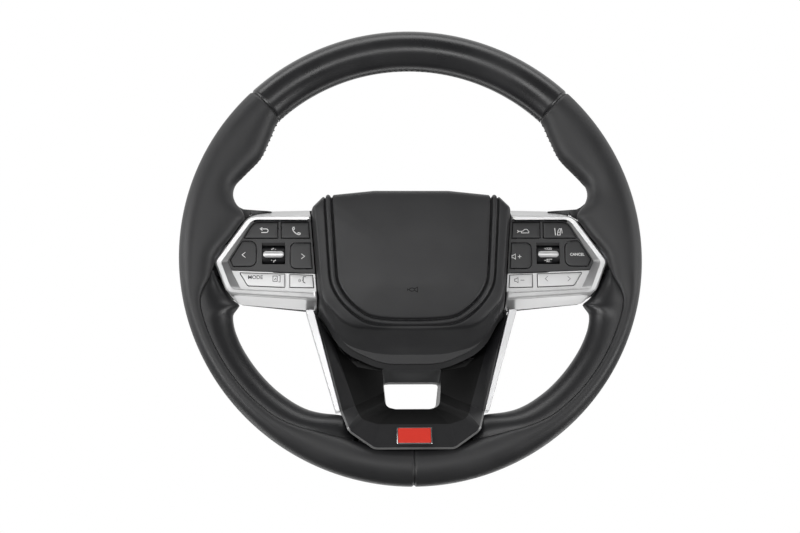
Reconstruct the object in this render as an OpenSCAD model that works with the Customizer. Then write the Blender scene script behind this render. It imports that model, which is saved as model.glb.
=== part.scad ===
// Car steering wheel: leather rim on a die-cast armature, two switch clusters and a sprung airbag module.
// Pieces are drawn on the wheel's face: x to the driver's right, y up, z towards the driver, with z = 0
// in the rim's middle plane. face() then stands them up, so that the finished wheel has +Z up and faces -Y,
// with the origin on the steering axis at the hub's rear face.

/* [Rim] */
// Overall diameter of the rim
rim_d = 380; // [376:1:390]
// Depth of the rim, front to back
rim_depth = 34; // [32:0.5:36]
// Thickness of the leather
leather_t = 1.6; // [1.2:0.1:2]
// Gap left for glue between foam, leather and trim
glue_gap = 0.3; // [0.2:0.05:0.5]
// Half of the arc that the smooth top grip covers, in degrees
top_grip_half = 43.7; // [40:0.1:48]
// Diameter of the armature's ring inside the foam
ring_d = 11; // [9:0.5:13]
// Thickness of the inner rim trims
trim_t = 2.2; // [1.8:0.1:2.6]

/* [Hub] */
// Depth from the rim's middle plane to the hub's rear face
dish = 70; // [66:1:76]
// Diameter of the hub boss
hub_d = 44; // [40:1:48]
// Length of the hub boss
hub_len = 24; // [20:1:26]
// Diameter of the bore for the steering shaft
shaft_d = 17.3; // [15:0.1:19]
// Wall of the steel hub insert
insert_wall = 3; // [2.5:0.1:4]
// Thickness of the armature's arms
arm_t = 6; // [5:0.5:7]

/* [Airbag module] */
// Width of the airbag cover at its widest
airbag_w = 164.6; // [162:0.2:168]
// Wall of the airbag cover
cover_t = 2.8; // [2.2:0.1:3.4]
// Width of the two seam grooves in the airbag cover
groove_w = 1.8; // [1.4:0.1:2.2]
// Diameter of the inflator
inflator_d = 62; // [56:1:66]
// Travel of the airbag module when the horn is pressed
horn_travel = 2; // [1.5:0.1:2.4]
// Diameter of the horn guide pins
pin_d = 5; // [4.5:0.1:6]
// Diameter of the wire of the horn springs
spring_wire = 1.2; // [1:0.1:1.5]

/* [Switch clusters] */
// Height of the silver bezel's front face above the rim's middle plane
bezel_front = 4; // [3:0.5:6]
// Thickness of the switch panels
panel_t = 2.2; // [1.8:0.1:2.6]
// Running gap round each key
key_gap = 0.25; // [0.2:0.05:0.3]
// How far the keys stand out of their panel
key_proud = 0.5; // [0.3:0.1:0.8]
// Travel of the push keys
key_travel = 1; // [0.6:0.1:1.1]
// Radius of the thumb rollers
roller_r = 7.5; // [6.8:0.1:7.8]
// Diameter of the roller axles and rocker pivots
axle_d = 3; // [2.6:0.1:3.4]

/* [Lower spoke] */
// Wall of the lower spoke covers
spoke_t = 2.4; // [2:0.1:2.8]
// Width of the plate on the lower spoke
plate_w = 28; // [20:1:32]
// Height of the plate on the lower spoke
plate_h = 14.5; // [10:0.5:16]

/* [Hidden] */
$fn = 48;
// Points at each rounded corner of a lofted outline
CORNER_STEPS = 4;
// Clearance between pieces that are clipped together, and the hair's breadth between seated faces
fit = 0.3;
seat = 0.05;

// The outlines are read off a wheel of 380 mm with an airbag cover of 164.6 mm. These factors carry them
// along when one of those sizes changes.
rim_r = rim_d / 2;
half_w = airbag_w / 2;
spoke_reach = rim_r - 29.1;
rim_k = rim_d / 380;
hub_k = airbag_w / 164.6;
cluster_k = (spoke_reach - half_w) / 78.6;

// Depths of the main faces along the steering axis
crest = rim_depth / 2;
cover_front = 16.5;
panel_front = -3;
panel_back = panel_front - panel_t;
ledge = -9.5;
floor_z = -19.3;
bezel_rear = -20;
retainer_z = -20.5;
spoke_rear = -22;
arm_level = -27;
window_rear = -28.3;
plate_top = hub_len - dish + 4;
rear_z = 10 - dish;

// Places that several pieces share
ring_r = rim_r - 16.5;
PIN_PLACES = [[-54, 20], [54, 20], [0, -54]];
COVER_SCREWS = [[-36, 20], [36, 20]];
screw_d = 3.2;
bush_wall = 2;
hub_hole = 27;

// Stands a piece drawn on the wheel's face up in the finished frame.
module face() { translate([0, -dish, 0]) rotate([90, 0, 0]) children(); }
// Draws the children as modelled on the right, or mirrored to the left.
module side(left) { if (left) mirror([1, 0, 0]) children(); else children(); }

// Value of a smooth curve through the table's [angle, value] pairs.
function span(table, a, i = 0) = (i >= len(table) - 2 || a < table[i + 1][0]) ? i : span(table, a, i + 1);
function slope(table, i) = (i <= 0 || i >= len(table) - 1) ? 0
    : (table[i + 1][1] - table[i - 1][1]) / (table[i + 1][0] - table[i - 1][0]);
function curve(table, a) = let (
    i = span(table, a),
    h = table[i + 1][0] - table[i][0],
    u = min(1, max(0, (a - table[i][0]) / h))
) (2 * pow(u, 3) - 3 * pow(u, 2) + 1) * table[i][1] + (pow(u, 3) - 2 * pow(u, 2) + u) * h * slope(table, i)
    + (3 * pow(u, 2) - 2 * pow(u, 3)) * table[i + 1][1] + (pow(u, 3) - pow(u, 2)) * h * slope(table, i + 1);

// Outlines are lists of corners [x, y, radius], anticlockwise.
function unit(v) = v / norm(v);
function at(c, i) = let (p = c[(i + len(c)) % len(c)]) [p[0], p[1]];
function inset(c, d) = [for (i = [0:len(c) - 1]) let (
    u = unit(at(c, i) - at(c, i - 1)), v = unit(at(c, i + 1) - at(c, i)),
    n = [-u[1], u[0]], m = [-v[1], v[0]], p = at(c, i) + d * (n + m) / (1 + n * m)
) [p[0], p[1], max(0.1, c[i][2] - d)]];
function rounded(c, steps = CORNER_STEPS) = [for (i = [0:len(c) - 1]) let (
    p = at(c, i), u = unit(at(c, i - 1) - p), v = unit(at(c, i + 1) - p),
    half = acos(max(-1, min(1, u * v))) / 2, r = c[i][2],
    centre = p + unit(u + v) * r / sin(half),
    a0 = atan2((p + u * r / tan(half) - centre)[1], (p + u * r / tan(half) - centre)[0]),
    sweep = 180 - 2 * half, turn = (u[0] * v[1] - u[1] * v[0]) < 0 ? 1 : -1
) for (k = [0:steps - 1]) let (a = a0 + turn * sweep * k / (steps - 1)) centre + r * [cos(a), sin(a)]];
function both_sides(half) =
    concat(half, [for (i = [len(half) - 1:-1:0]) [-half[i][0], half[i][1], half[i][2]]]);
function raise(points, z) = [for (p = points) [p[0], p[1], z]];
// Gives each corner of an outline its own height, the same on both sides.
function lift(corners, heights, steps = CORNER_STEPS) = let (
    n = len(heights),
    all = [for (i = [0:2 * n - 1]) heights[i < n ? i : 2 * n - 1 - i]],
    p = rounded(corners, steps)
) [for (i = [0:len(corners) - 1]) for (k = [0:steps - 1]) let (q = p[i * steps + k]) [q[0], q[1], all[i]]];
function flat(z) = [for (i = [0:4]) z];
function lower(heights, d) = [for (z = heights) z - d];
module block(c, z0, z1) { translate([0, 0, z0]) linear_extrude(z1 - z0) polygon(rounded(c)); }

// Skins a row of loops that have the same number of points. A ring closes on itself and has no end caps.
// The faces are turned to point outwards, whichever way the loops run.
module skin(loops, ring = false) {
    n = len(loops[0]);
    m = len(loops);
    points = [for (l = loops) each l];
    sides = [for (j = [0:(ring ? m - 1 : m - 2)]) for (i = [0:n - 1]) let (
        a = j * n + i, b = j * n + (i + 1) % n, c = ((j + 1) % m) * n + (i + 1) % n, d = ((j + 1) % m) * n + i
    ) each [[a, b, c], [a, c, d]]];
    caps = ring ? [] : [[for (i = [n - 1:-1:0]) i], [for (i = [0:n - 1]) (m - 1) * n + i]];
    volumes = concat(
        [for (f = sides) points[f[0]] * cross(points[f[1]], points[f[2]])],
        [for (f = caps) for (i = [1:len(f) - 2]) points[f[0]] * cross(points[f[i]], points[f[i + 1]])]
    );
    faces = concat(sides, caps);
    polyhedron(points, volumes * [for (v = volumes) 1] < 0 ? faces
        : [for (f = faces) [for (i = [len(f) - 1:-1:0]) f[i]]]);
}

// Corners of the outlines. END lies beside the airbag cover, OUT counts inwards from the tip of the side
// spoke, WIDE counts inwards from the airbag cover's side, and CORE and LOW count from the middle.
side_gap = 0.8;
function cover_side(y) = half_w - 0.075 * (38.2 - y);
function end(y, inwards = 0) = [cover_side(y) + side_gap + inwards, y, 0.4];
function out(d, y, r = 0.6) = [spoke_reach - d * cluster_k, y, r];
function wide(d, y, r = 0.6) = [half_w - d, y, r];
function core(x, y, r) = [x * hub_k, y, r];
function low(x, y, r) = [x * hub_k, y * rim_k, r];

// Rim. Angles run from the top of the rim down its side, and each table holds [angle, inset from the rim's
// outer radius] or [angle, height], so that the same values serve the left and, mirrored, the right.
FRONT_EDGE = [[0, 33], [43.7, 33.2], [49.5, 38.2], [56.5, 42.2], [63, 38.6], [68, 34.8], [71, 35.6],
    [73.5, 40], [76, 48], [78, 50.4], [80, 48], [85, 41.4], [91, 30.4], [93.5, 28.4], [97.4, 23.6],
    [100.5, 17.4], [103, 13.8], [107, 12.5], [125, 12.7], [135, 14.1], [141, 15.8], [147.3, 20],
    [152.2, 24.1], [158, 27.5], [162, 29.5], [180, 30]];
FRONT_HEIGHT = [[0, 0.15], [64, 0.15], [70, 1.5], [76, 4.4], [93.5, 6.5], [98, 11], [103, 13], [147, 13],
    [158, 8], [164, 3], [180, 3]];
REAR_EDGE = [[0, 33], [43.7, 33.2], [49.5, 38.2], [56.5, 42.2], [63, 38.6], [68, 33], [72, 26],
    [77, 20], [98, 20], [103, 25], [109, 28], [150, 29], [156, 25], [162, 20], [180, 20]];
REAR_HEIGHT = [[0, -0.15], [64, -0.15], [70, -9], [77, -15.5], [98, -15.5], [104, -13.5], [150, -13.5],
    [162, -15.5], [180, -15.5]];
CREST_INSET = [[0, 16.5], [70, 16.5], [92, 14], [103, 8.5], [135, 9], [150, 13], [162, 14], [180, 14]];
OPENING_EDGE = [[93.5, 28.6], [99, 33.5], [104, 39.5], [106.4, 43.5], [107.4, 40.5], [108.4, 37], [109.6, 35.4],
    [111.5, 34.1], [114, 33.1], [120, 32.4], [133, 33.2], [141, 35], [145.7, 37], [149.4, 39.9], [155.6, 45.6],
    [157.5, 41], [160.6, 33.4]];
WRAP_ENDS = 4;
WRAP_OUTER = 7;

// Section of the leather at one angle, from its front edge round the outside to its rear edge.
function wrap(a, t) = let (
    f = rim_r - curve(FRONT_EDGE, a), fz = curve(FRONT_HEIGHT, a),
    r = rim_r - curve(REAR_EDGE, a), rz = curve(REAR_HEIGHT, a),
    c = rim_r - curve(CREST_INSET, a), open = min(1, fz / 6), back = min(1, -rz / 9),
    front = [f + t * (1 - open), fz - t * open], rear = [r + t * (1 - back), rz + t * back]
) concat(
    [for (k = [0:WRAP_ENDS - 1]) let (w = 90 * (1 - k / WRAP_ENDS))
        [c - (c - front[0]) * sin(w), front[1] + (crest - t - front[1]) * pow(cos(w), 0.85)]],
    [for (k = [0:WRAP_OUTER]) let (w = 90 - 180 * k / WRAP_OUTER)
        [c + (rim_r - t - c) * pow(abs(cos(w)), 0.9), (crest - t) * sin(w)]],
    [for (k = [1:WRAP_ENDS]) let (w = 90 * k / WRAP_ENDS)
        [c - (c - rear[0]) * sin(w), rear[1] - (crest - t + rear[1]) * pow(cos(w), 0.85)]]
);
function leather(a) = let (inner = wrap(a, leather_t))
    concat(wrap(a, 0), [for (i = [len(inner) - 1:-1:0]) inner[i]]);
// Places a section's [radius, height] points at an angle from the top, on the right side.
function station(section, a) = [for (p = section) [p[0] * sin(a), p[0] * cos(a), p[1]]];
function steps(first, last, step) = let (n = ceil((last - first) / step))
    [for (i = [0:n]) first + (last - first) * i / n];

RIM_ANGLES = concat(steps(top_grip_half + 0.05, 64, 5), [68, 71, 74, 77, 80, 84, 88, 92, 95, 98, 101, 103.5],
    [106, 109, 113, 119, 125.5, 132, 138.5, 144, 149, 153, 156, 159, 163, 168.5, 174, 179.95]);
module grip(left) {
    color("#26272a") face() side(left) skin([for (a = RIM_ANGLES) station(leather(a), a)]);
}
module grip_top() {
    color("#1d1e20") face() rotate([0, 0, 90 - top_grip_half])
        rotate_extrude(angle = 2 * top_grip_half, $fn = 96) polygon(leather(0));
}

// The foam fills the leather and reaches to the trims. It is open towards the spokes, where the armature's
// arms enter, and has a slit elsewhere. TRIMMED is 1 where a trim closes the section, and the two slit
// tables give half of the tunnel's opening in degrees.
TRIMMED = [[0, 0], [94, 0], [101, 1], [153, 1], [158, 0], [180, 0]];
SLIT_FRONT = [[0, 2], [64, 2], [74, 40], [98, 40], [108, 2], [150, 2], [158, 40], [180, 40]];
SLIT_REAR = [[0, 2], [64, 2], [74, 75], [98, 75], [108, 2], [150, 2], [158, 75], [180, 75]];
TUNNEL_STEPS = 8;
function foam_section(a) = let (
    trimmed = min(1, max(0, curve(TRIMMED, a))),
    full = wrap(a, leather_t + glue_gap + (a > 60 && a < 105 ? 0.6 : 0.25)), n = len(full) - 1,
    tuck = trimmed * [1.8, -1.4],
    skin_side = [for (i = [0:n]) full[i] + (i == 0 ? tuck : i == n ? [tuck[0], -tuck[1]] : [0, 0])],
    first = skin_side[0], last = skin_side[n], open = curve(SLIT_FRONT, a) / 40, gap = 0.2,
    front_lip = (1 - trimmed) * (first + [1, -1.5 * open]) + trimmed * [rim_r - 27.5, gap],
    rear_lip = (1 - trimmed) * (last + [1, 2 * open]) + trimmed * [rim_r - 27.5, -gap],
    front_mid = (first + front_lip) / 2 - trimmed * [2.5, 0],
    rear_mid = (last + rear_lip) / 2 - trimmed * [0, 2],
    from = 180 + curve(SLIT_REAR, a), to = 540 - curve(SLIT_FRONT, a),
    reach = (ring_d / 2 + 0.5) / cos(180 / TUNNEL_STEPS)
) concat(skin_side, [rear_mid, rear_lip],
    [for (k = [0:TUNNEL_STEPS]) let (w = from + (to - from) * k / TUNNEL_STEPS)
        [ring_r + reach * cos(w), reach * sin(w)]],
    [front_lip, front_mid]);
function under_grip(a) = a < top_grip_half ? 0 : a;
module rim_foam() {
    half = concat(steps(0, top_grip_half - 0.1, 6.5), RIM_ANGLES, [180]);
    angles = concat(half, [for (i = [len(half) - 2:-1:1]) 360 - half[i]]);
    color("#5b5d60") face()
        skin([for (a = angles) station(foam_section(under_grip(a > 180 ? 360 - a : a)), a)], ring = true);
}

// Smooth inner trims that line the two lower openings of the rim.
function trim_section(a, t) = let (
    p = rim_r - curve(FRONT_EDGE, a) - glue_gap, z = curve(FRONT_HEIGHT, a) - t,
    e = rim_r - curve(OPENING_EDGE, a) + t, r = rim_r - curve(REAR_EDGE, a) - glue_gap, mid = -4
) concat(
    [for (k = [0:5]) let (w = 18 * k) [p - (p - e) * sin(w), mid + (z - mid) * pow(cos(w), 1.3)]],
    [for (k = [1:3]) let (w = 30 * k) [r - (r - e) * cos(w), mid + (curve(REAR_HEIGHT, a) + t - mid) * sin(w)]]
);
spoke_angle = 180 - atan2(58.5 * hub_k, 128.6 * rim_k);
module inner_trim(left) {
    angles = concat([95, 98, 101, 103.5, 106, 107.5, 109, 111, 113, 119, 125.5, 132, 138.5, 144],
        [for (past = [-6.5, -2.5, 0.5, 3.5, 7]) spoke_angle + past]);
    color("#2b2c2f") face() side(left) difference() {
        skin([for (a = angles) station(let (inner = trim_section(a, trim_t))
            concat(trim_section(a, 0), [for (i = [len(inner) - 1:-1:0]) inner[i]]), a)]);
        block(inset(BEZEL_REACH, -0.6), -30, 20);
        block(inset(SPOKE_OUT, -0.5), -30, 20);
    }
}

// Armature: a die casting with the hub, two arms and two legs, cast on to a ring of steel bar.
arm_h = 26;
arm_knee = 98;
leg_x = 37;
leg_w = 14;
leg_drop = 5;
leg_ring_y = sqrt(ring_r * ring_r - leg_x * leg_x) - 1.5;
boss_d = 9;
boss_z = rear_z + spoke_t + seat;
module ring_bar() { rotate_extrude($fn = 96) translate([ring_r, 0]) circle(d = ring_d, $fn = 24); }
module rim_ring() { color("#86898d") face() ring_bar(); }
// An arm or a leg, seen from the side: out from the hub plate, down to its level and up to the ring.
module limb(width, start, foot, knee, end_at, level, reach) {
    linear_extrude(width) polygon([
        [start, plate_top], [foot - 4, plate_top], [knee - 2, level + arm_t], [end_at - 3, level + arm_t],
        [reach, 3], [reach, -3], [end_at - 1.4, level], [knee, level], [foot, plate_top - arm_t],
        [start, plate_top - arm_t]
    ]);
}
module armature() {
    plate_rear = plate_top - arm_t;
    color("#8f9296") face() difference() {
        union() {
            translate([0, 0, -dish]) cylinder(d = hub_d, h = hub_len);
            for (left = [false, true]) side(left) {
                translate([0, arm_h / 2, 0]) rotate([90, 0, 0])
                    limb(arm_h, 15, 56, arm_knee + 2, spoke_reach, arm_level, ring_r - 2);
                translate([leg_x + leg_w / 2, 0, 0]) rotate([90, 0, -90])
                    limb(leg_w, 12, 50, 76, leg_ring_y - 30, arm_level - leg_drop, leg_ring_y);
            }
            for (p = PIN_PLACES) translate([p[0], p[1], plate_rear]) cylinder(d = pin_d + 12, h = arm_t);
            block([[-66, 8, 4], [66, 8, 4], [66, 30, 8], [-66, 30, 8]], plate_rear, plate_top);
            block([[-9, -64, 8], [9, -64, 8], [16, -10, 4], [-16, -10, 4]], plate_rear, plate_top);
            for (p = COVER_SCREWS) translate([p[0], p[1], boss_z])
                cylinder(d = boss_d, h = plate_rear - boss_z);
        }
        ring_bar();
        translate([0, 0, -dish - 1]) cylinder(d = shaft_d + 2 * insert_wall, h = hub_len + 10);
        for (p = PIN_PLACES) translate([p[0], p[1], plate_rear - 8])
            cylinder(d = pin_d + 2 * bush_wall + 0.1, h = arm_t + 16);
        for (p = COVER_SCREWS) translate([p[0], p[1], boss_z - 8]) cylinder(d = screw_d + 0.1, h = 40);
    }
}
module hub_insert() {
    color("#a9abae") face() translate([0, 0, -dish]) difference() {
        union() {
            cylinder(d = shaft_d + 2 * insert_wall, h = hub_len);
            translate([0, 0, hub_len]) cylinder(d = shaft_d + 2 * insert_wall, h = 4);
        }
        translate([0, 0, -1]) cylinder(d = shaft_d, h = hub_len + 6);
    }
}

// Switch clusters, drawn on the right and mirrored to the left.
split_slope = 0.04;
BEZEL_FRONT = [end(-37.4), out(10.5, -32.8, 9), out(0, -6.15, 6), out(27.4, 32, 12), end(32)];
BEZEL_REAR = [end(-43.4), out(16.9, -37.4, 8), out(5.9, -8, 6), out(33.9, 40.6, 12), end(41.6)];
BEZEL_REACH = [end(-43.4), out(16.9, -37.4, 8), out(10.5, -32.8, 4), out(0, -6.15, 5), out(33.9, 40.6, 12),
    end(41.6)];
POCKET_TOP = [end(-33, 2.5), out(13.9, -29.5, 6), out(6.4, -6.5, 4), out(30.3, 29.8, 9), end(29.8, 2.5)];
POCKET = [end(-31, 2.5), out(21.4, -28, 4), out(10.1, -5, 3), out(30.9, 29.2, 9), end(29.2, 2.5)];
PANEL = [end(-31, 0.4), out(21.4, -28, 4), out(10.1, -5, 3), out(30.9, 29.2, 9), end(29.2, 0.4)];
UPPER = [end(-14.8, 0.4), out(13.6, -12.1, 0.5), out(10.1, -5, 3), out(30.9, 29.2, 9), end(29.2, 0.4)];
LOWER = [end(-31, 0.4), out(21.4, -28, 4), out(13.6, -12.1, 0.5), end(-14.8, 0.4)];
OUTER_TOP_KEY = [out(51.8, 14.3), out(23.3, 14.3), out(31.6, 28, 8), out(51.8, 28)];
INNER_TOP_KEY = [end(14.3, 1.6), out(54, 14.3), out(54, 28), end(28, 1.6)];
OUTER_KEY = [out(34.2, -9.3, 6), out(14.9, -9.3, 1), out(12.4, -3.6, 1), out(22.3, 12.4, 0.8),
    out(34.2, 12.4, 6)];
INNER_KEY = [end(-11.2, 1.6), out(61.4, -11.2, 5), out(61.4, 10.8, 5), end(10.8, 1.6)];
INNER_LOW_KEY = [end(-27.2, 1.6), out(61, -26.8), out(61, -15.4), end(-16.2, 1.6)];
ROCKER = [out(57.4, -26.6), out(26.9, -25.3, 3), out(20.2, -14.2, 0.6), out(57.4, -15.4)];

roller_x = out(47.95, 0)[0];
roller_y = 0.8;
roller_z = -8.6;
roller_w = 18.4 * cluster_k;
bar_w = roller_w - 1;
bar_h = 5.4;
window_w = roller_w + 0.7;
window_h = 16;
rocker_x = out(38.6, 0)[0];
rocker_z = -9;
ROCKER_LUGS = [-26, -16.6];
lug_t = 1.2;
wall_t = 1.2;
tray_t = 1.5;
board_t = 1.6;
board_top = floor_z + tray_t + board_t + seat;
plunger_r = 2.2;
plunger_end = -11.5;
flange_w = 0.5;
flange_t = 1.1;

bezel_wall = 2.2;
module bezel(left) {
    color("#c9cbcd") face() side(left) difference() {
        skin([
            raise(rounded(BEZEL_REAR), bezel_rear), raise(rounded(BEZEL_FRONT), bezel_front - 1),
            raise(rounded(inset(BEZEL_FRONT, 1.2)), bezel_front), raise(rounded(POCKET_TOP), bezel_front - 1),
            raise(rounded(POCKET), ledge), raise(rounded(inset(POCKET, bezel_wall)), ledge),
            raise(rounded(inset(POCKET, bezel_wall)), ledge - 2),
            raise(rounded(inset(BEZEL_REAR, bezel_wall)), bezel_rear)
        ], ring = true);
        // The pocket runs out beside the airbag cover.
        translate([cover_side(-40) - 2, POCKET[0][1] - 0.1, ledge])
            cube([end(29, 4.8)[0] - cover_side(-40), POCKET[4][1] - POCKET[0][1] + 0.2, 20]);
    }
}
module switch_panel(left) {
    color("#191a1c") face() side(left) difference() {
        block(inset(UPPER, fit), panel_back, panel_front);
        for (k = [OUTER_TOP_KEY, INNER_TOP_KEY, OUTER_KEY, INNER_KEY]) block(k, -20, 10);
        translate([roller_x - window_w / 2, roller_y - window_h / 2, -20]) cube([window_w, window_h, 40]);
    }
}
module lower_panel(left) {
    color("#c9cbcd") face() side(left) difference() {
        block(inset(LOWER, fit), panel_back, panel_front);
        block(INNER_LOW_KEY, -20, 10);
        block(inset(ROCKER, -0.2), -20, 10);
    }
}
module switch_housing(left) {
    color("#2a2b2e") face() side(left) difference() {
        union() {
            difference() {
                union() {
                    block(inset(PANEL, fit), ledge + seat, panel_back - seat);
                    block(inset(POCKET, bezel_wall + 0.6), floor_z, ledge + seat);
                }
                block(inset(PANEL, fit + 0.8), ledge + 1.3, 0);
                block(inset(POCKET, bezel_wall + 0.6 + wall_t), floor_z + tray_t, 0);
            }
            // cheeks for the roller's axle, and lugs for the rocker's pivot
            for (s = [-1, 1]) translate([roller_x + s * (roller_w / 2 + 1.15) - 1, roller_y - 4, floor_z + 1])
                cube([2, 8, panel_back - seat - floor_z - 1]);
            for (y = ROCKER_LUGS) translate([rocker_x - 2.6, y, floor_z + 1])
                cube([5.2, lug_t, rocker_z + 2.1 - floor_z - 1]);
        }
        translate([roller_x - 20, roller_y, roller_z]) rotate([0, 90, 0]) cylinder(d = axle_d + 0.1, h = 40);
        translate([rocker_x, -40, rocker_z]) rotate([-90, 0, 0]) cylinder(d = axle_d - 0.3, h = 30);
    }
}
// Room for the roller and for the rocker's lugs in the board and the mat.
module roller_gap() {
    translate([roller_x - roller_w / 2 - 3, roller_y - 8.8, -30]) cube([roller_w + 6, 17.6, 60]);
    for (y = ROCKER_LUGS) translate([rocker_x - 3, y - 0.4, -30]) cube([6, lug_t + 0.8, 60]);
}
module switch_board(left) {
    color("#2f6b45") face() side(left) difference() {
        block(inset(POCKET, 4.4), floor_z + tray_t + seat, board_top);
        roller_gap();
    }
}
function middle(c) = [for (i = [0, 1]) (min([for (p = c) p[i]]) + max([for (p = c) p[i]])) / 2];
ROCKER_FEET = [for (d = [-11, 8]) [rocker_x + d * cluster_k, -20.6]];
PLUNGERS = concat([for (k = [OUTER_TOP_KEY, INNER_TOP_KEY, OUTER_KEY, INNER_KEY, INNER_LOW_KEY]) middle(k)],
    ROCKER_FEET);
module dome_mat(left) {
    dome_top = plunger_end - key_travel - 3 * seat;
    color("#b9bcc0") face() side(left) difference() {
        union() {
            block(inset(POCKET, 4.6), board_top + seat, board_top + 1);
            for (p = PLUNGERS) translate([p[0], p[1], board_top + 0.5])
                cylinder(r = plunger_r + 0.4, h = dome_top - board_top - 0.5);
        }
        roller_gap();
    }
}

module push_key(outline, tone, left) {
    color(tone) face() side(left) {
        block(inset(outline, key_gap), panel_back - seat, panel_front + key_proud);
        intersection() {
            block(inset(outline, -flange_w), panel_back - seat - flange_t, panel_back - seat);
            block(inset(PANEL, 2), -30, 0);
        }
        translate([middle(outline)[0], middle(outline)[1], plunger_end])
            cylinder(r = plunger_r, h = panel_back - seat - 0.5 - plunger_end);
    }
}
module rocker(left) {
    web_low = ROCKER_LUGS[0] + lug_t + fit;
    web_high = ROCKER_LUGS[1] - fit;
    color("#c9cbcd") face() side(left) {
        block(inset(ROCKER, 0.3), panel_back - 1, panel_front + key_proud);
        translate([rocker_x - 1.8, web_low, rocker_z])
            cube([3.6, web_high - web_low, panel_back - 0.8 - rocker_z]);
        translate([rocker_x, ROCKER_LUGS[0] + 0.1, rocker_z]) rotate([-90, 0, 0])
            cylinder(d = axle_d - 0.4, h = ROCKER_LUGS[1] - ROCKER_LUGS[0] + 1);
        for (p = ROCKER_FEET) translate([p[0], p[1], plunger_end])
            cylinder(r = plunger_r, h = panel_back - 0.5 - plunger_end);
    }
}
module roller(left) {
    color("#232427") face() side(left) translate([roller_x, roller_y, roller_z]) difference() {
        rotate([0, 90, 0]) {
            translate([0, 0, -roller_w / 2]) cylinder(r = roller_r, h = roller_w);
            translate([0, 0, -roller_w / 2 - 2.05]) cylinder(d = axle_d, h = roller_w + 4.1);
        }
        translate([-bar_w / 2 - 0.1, -bar_h / 2 - 0.1, roller_r - 2.1]) cube([bar_w + 0.2, bar_h + 0.2, 5]);
    }
}
module roller_bar(left) {
    color("#d3d5d7") face() side(left) translate([roller_x, roller_y, roller_z + roller_r - 2])
        intersection() {
            translate([-bar_w / 2, -bar_h / 2, 0]) cube([bar_w, bar_h, 5]);
            translate([-bar_w, 0, 0]) rotate([0, 90, 0]) cylinder(r = 3.6, h = 2 * bar_w);
        }
}

// Airbag module: everything that moves when the horn is pressed.
CHIN = both_sides([wide(57, -94, 12), wide(24.3, -79, 16), wide(6.3, -46, 22), wide(0, 38.2, 6),
    wide(10.3, 48.6, 6), wide(52, 53, 30)]);
FOLD = both_sides([wide(54, -76.6, 12), wide(26.3, -72, 14), wide(6.8, -43.5, 20), wide(0.3, 38, 6),
    wide(10.5, 48.3, 6), wide(52, 52.6, 30)]);
BROW = both_sides([wide(50, -64.6, 12), wide(28, -62, 14), wide(8.2, -40, 16), wide(1.8, 37.5, 5),
    wide(11.3, 46.8, 5), wide(52, 51, 30)]);
FACE = both_sides([wide(54, -57.5, 12), wide(32, -55.5, 14), wide(14, -37, 14), wide(8, 35, 5),
    wide(16, 42.5, 5), wide(54, 46, 30)]);
CROWN = both_sides([wide(66, -30, 12), wide(52, -29, 10), wide(44, -18, 8), wide(40, 16, 4),
    wide(46, 21, 4), wide(66, 24, 12)]);
// Height of an outline's points: low at the chin, rising to full height above it.
function tilt(points, low, high) = [for (p = points) let (u = max(0, min(1, (p[1] + 66) / 50)))
    [p[0], p[1], low + (high - low) * u * u * (3 - 2 * u)]];
skirt_low = -10;
skirt_high = -18;
// The cover's outer surface, or with t its inner one, which runs out through the skirt.
module airbag_shell(t) {
    skin(concat(t == 0 ? [] : [tilt(rounded(inset(CHIN, 1 + t)), skirt_low - 1, skirt_high - 1)], [
        tilt(rounded(inset(CHIN, 1 + t)), skirt_low, skirt_high),
        tilt(rounded(inset(CHIN, t)), -9, -9),
        tilt(rounded(inset(FOLD, t)), -1 - t, 3),
        tilt(rounded(inset(BROW, t)), 6.5 - t, 11 - t),
        tilt(rounded(inset(FACE, t / 2)), 11.5 - t, 14.5 - t),
        tilt(rounded(CROWN), 15.6 - t, cover_front - t)
    ]));
}
// Path of a seam groove down one side and along the chin; d is its distance from the outer groove.
function seam(d) = [
    wide(11.3 + d, 52, 14), wide(11.3 + d, 40, 16), wide(12.5 + d, 18, 16.3), wide(14 + d, -6, 16.5),
    wide(15.6 + d * 0.9, -24, 16), wide(20 + d * 0.9, -35, 15), wide(26.5 + d * 0.8, -44 + d * 0.5, 14),
    wide(34.5 + d * 0.8, -51.5 + d * 0.8, 13), wide(45 + d * 0.8, -58 + d * 0.8, 12.6),
    wide(59 + d * 0.5, -60.8 + d, 12.9), [0, -61.7 + d, 13]
];
module groove(path) {
    for (i = [0:len(path) - 2]) hull() for (p = [path[i], path[i + 1]])
        translate(p) sphere(d = groove_w * 1.6, $fn = 8);
}
seam_pitch = 5.5;
module airbag_cover() {
    color("#2a2b2d") face() difference() {
        airbag_shell(0);
        airbag_shell(cover_t);
        for (left = [false, true]) side(left) for (d = [0, seam_pitch]) groove(seam(d));
    }
}
retainer_t = 2;
stud_d = 6;
stud_r = inflator_d / 2 + stud_d;
nut_h = 5;
STUD_ANGLES = [45, 135, 225, 315];
cushion_z = retainer_z + retainer_t + 5.3;
RETAINER = both_sides([wide(58, -62, 8), wide(28, -60, 10), wide(13, -40, 14), wide(8, 33, 8),
    wide(16, 39.5, 6), wide(52, 42, 20)]);
module airbag_retainer() {
    color("#8b8e92") face() difference() {
        block(RETAINER, retainer_z, retainer_z + retainer_t);
        translate([0, 0, -40]) cylinder(d = inflator_d + 0.6, h = 40);
        for (p = PIN_PLACES) translate([p[0], p[1], -40]) cylinder(d = pin_d + 0.1, h = 40);
        for (a = STUD_ANGLES) rotate(a) translate([stud_r, 0, -40]) cylinder(d = stud_d + 0.2, h = 40);
    }
}
function padded(k, z) = raise(k * rounded(FACE), z);
module airbag_cushion() {
    color("#d8d6cf") face()
        skin([padded(0.8, cushion_z), padded(0.88, cushion_z + 5), padded(0.88, 2), padded(0.8, 6)]);
}
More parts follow.
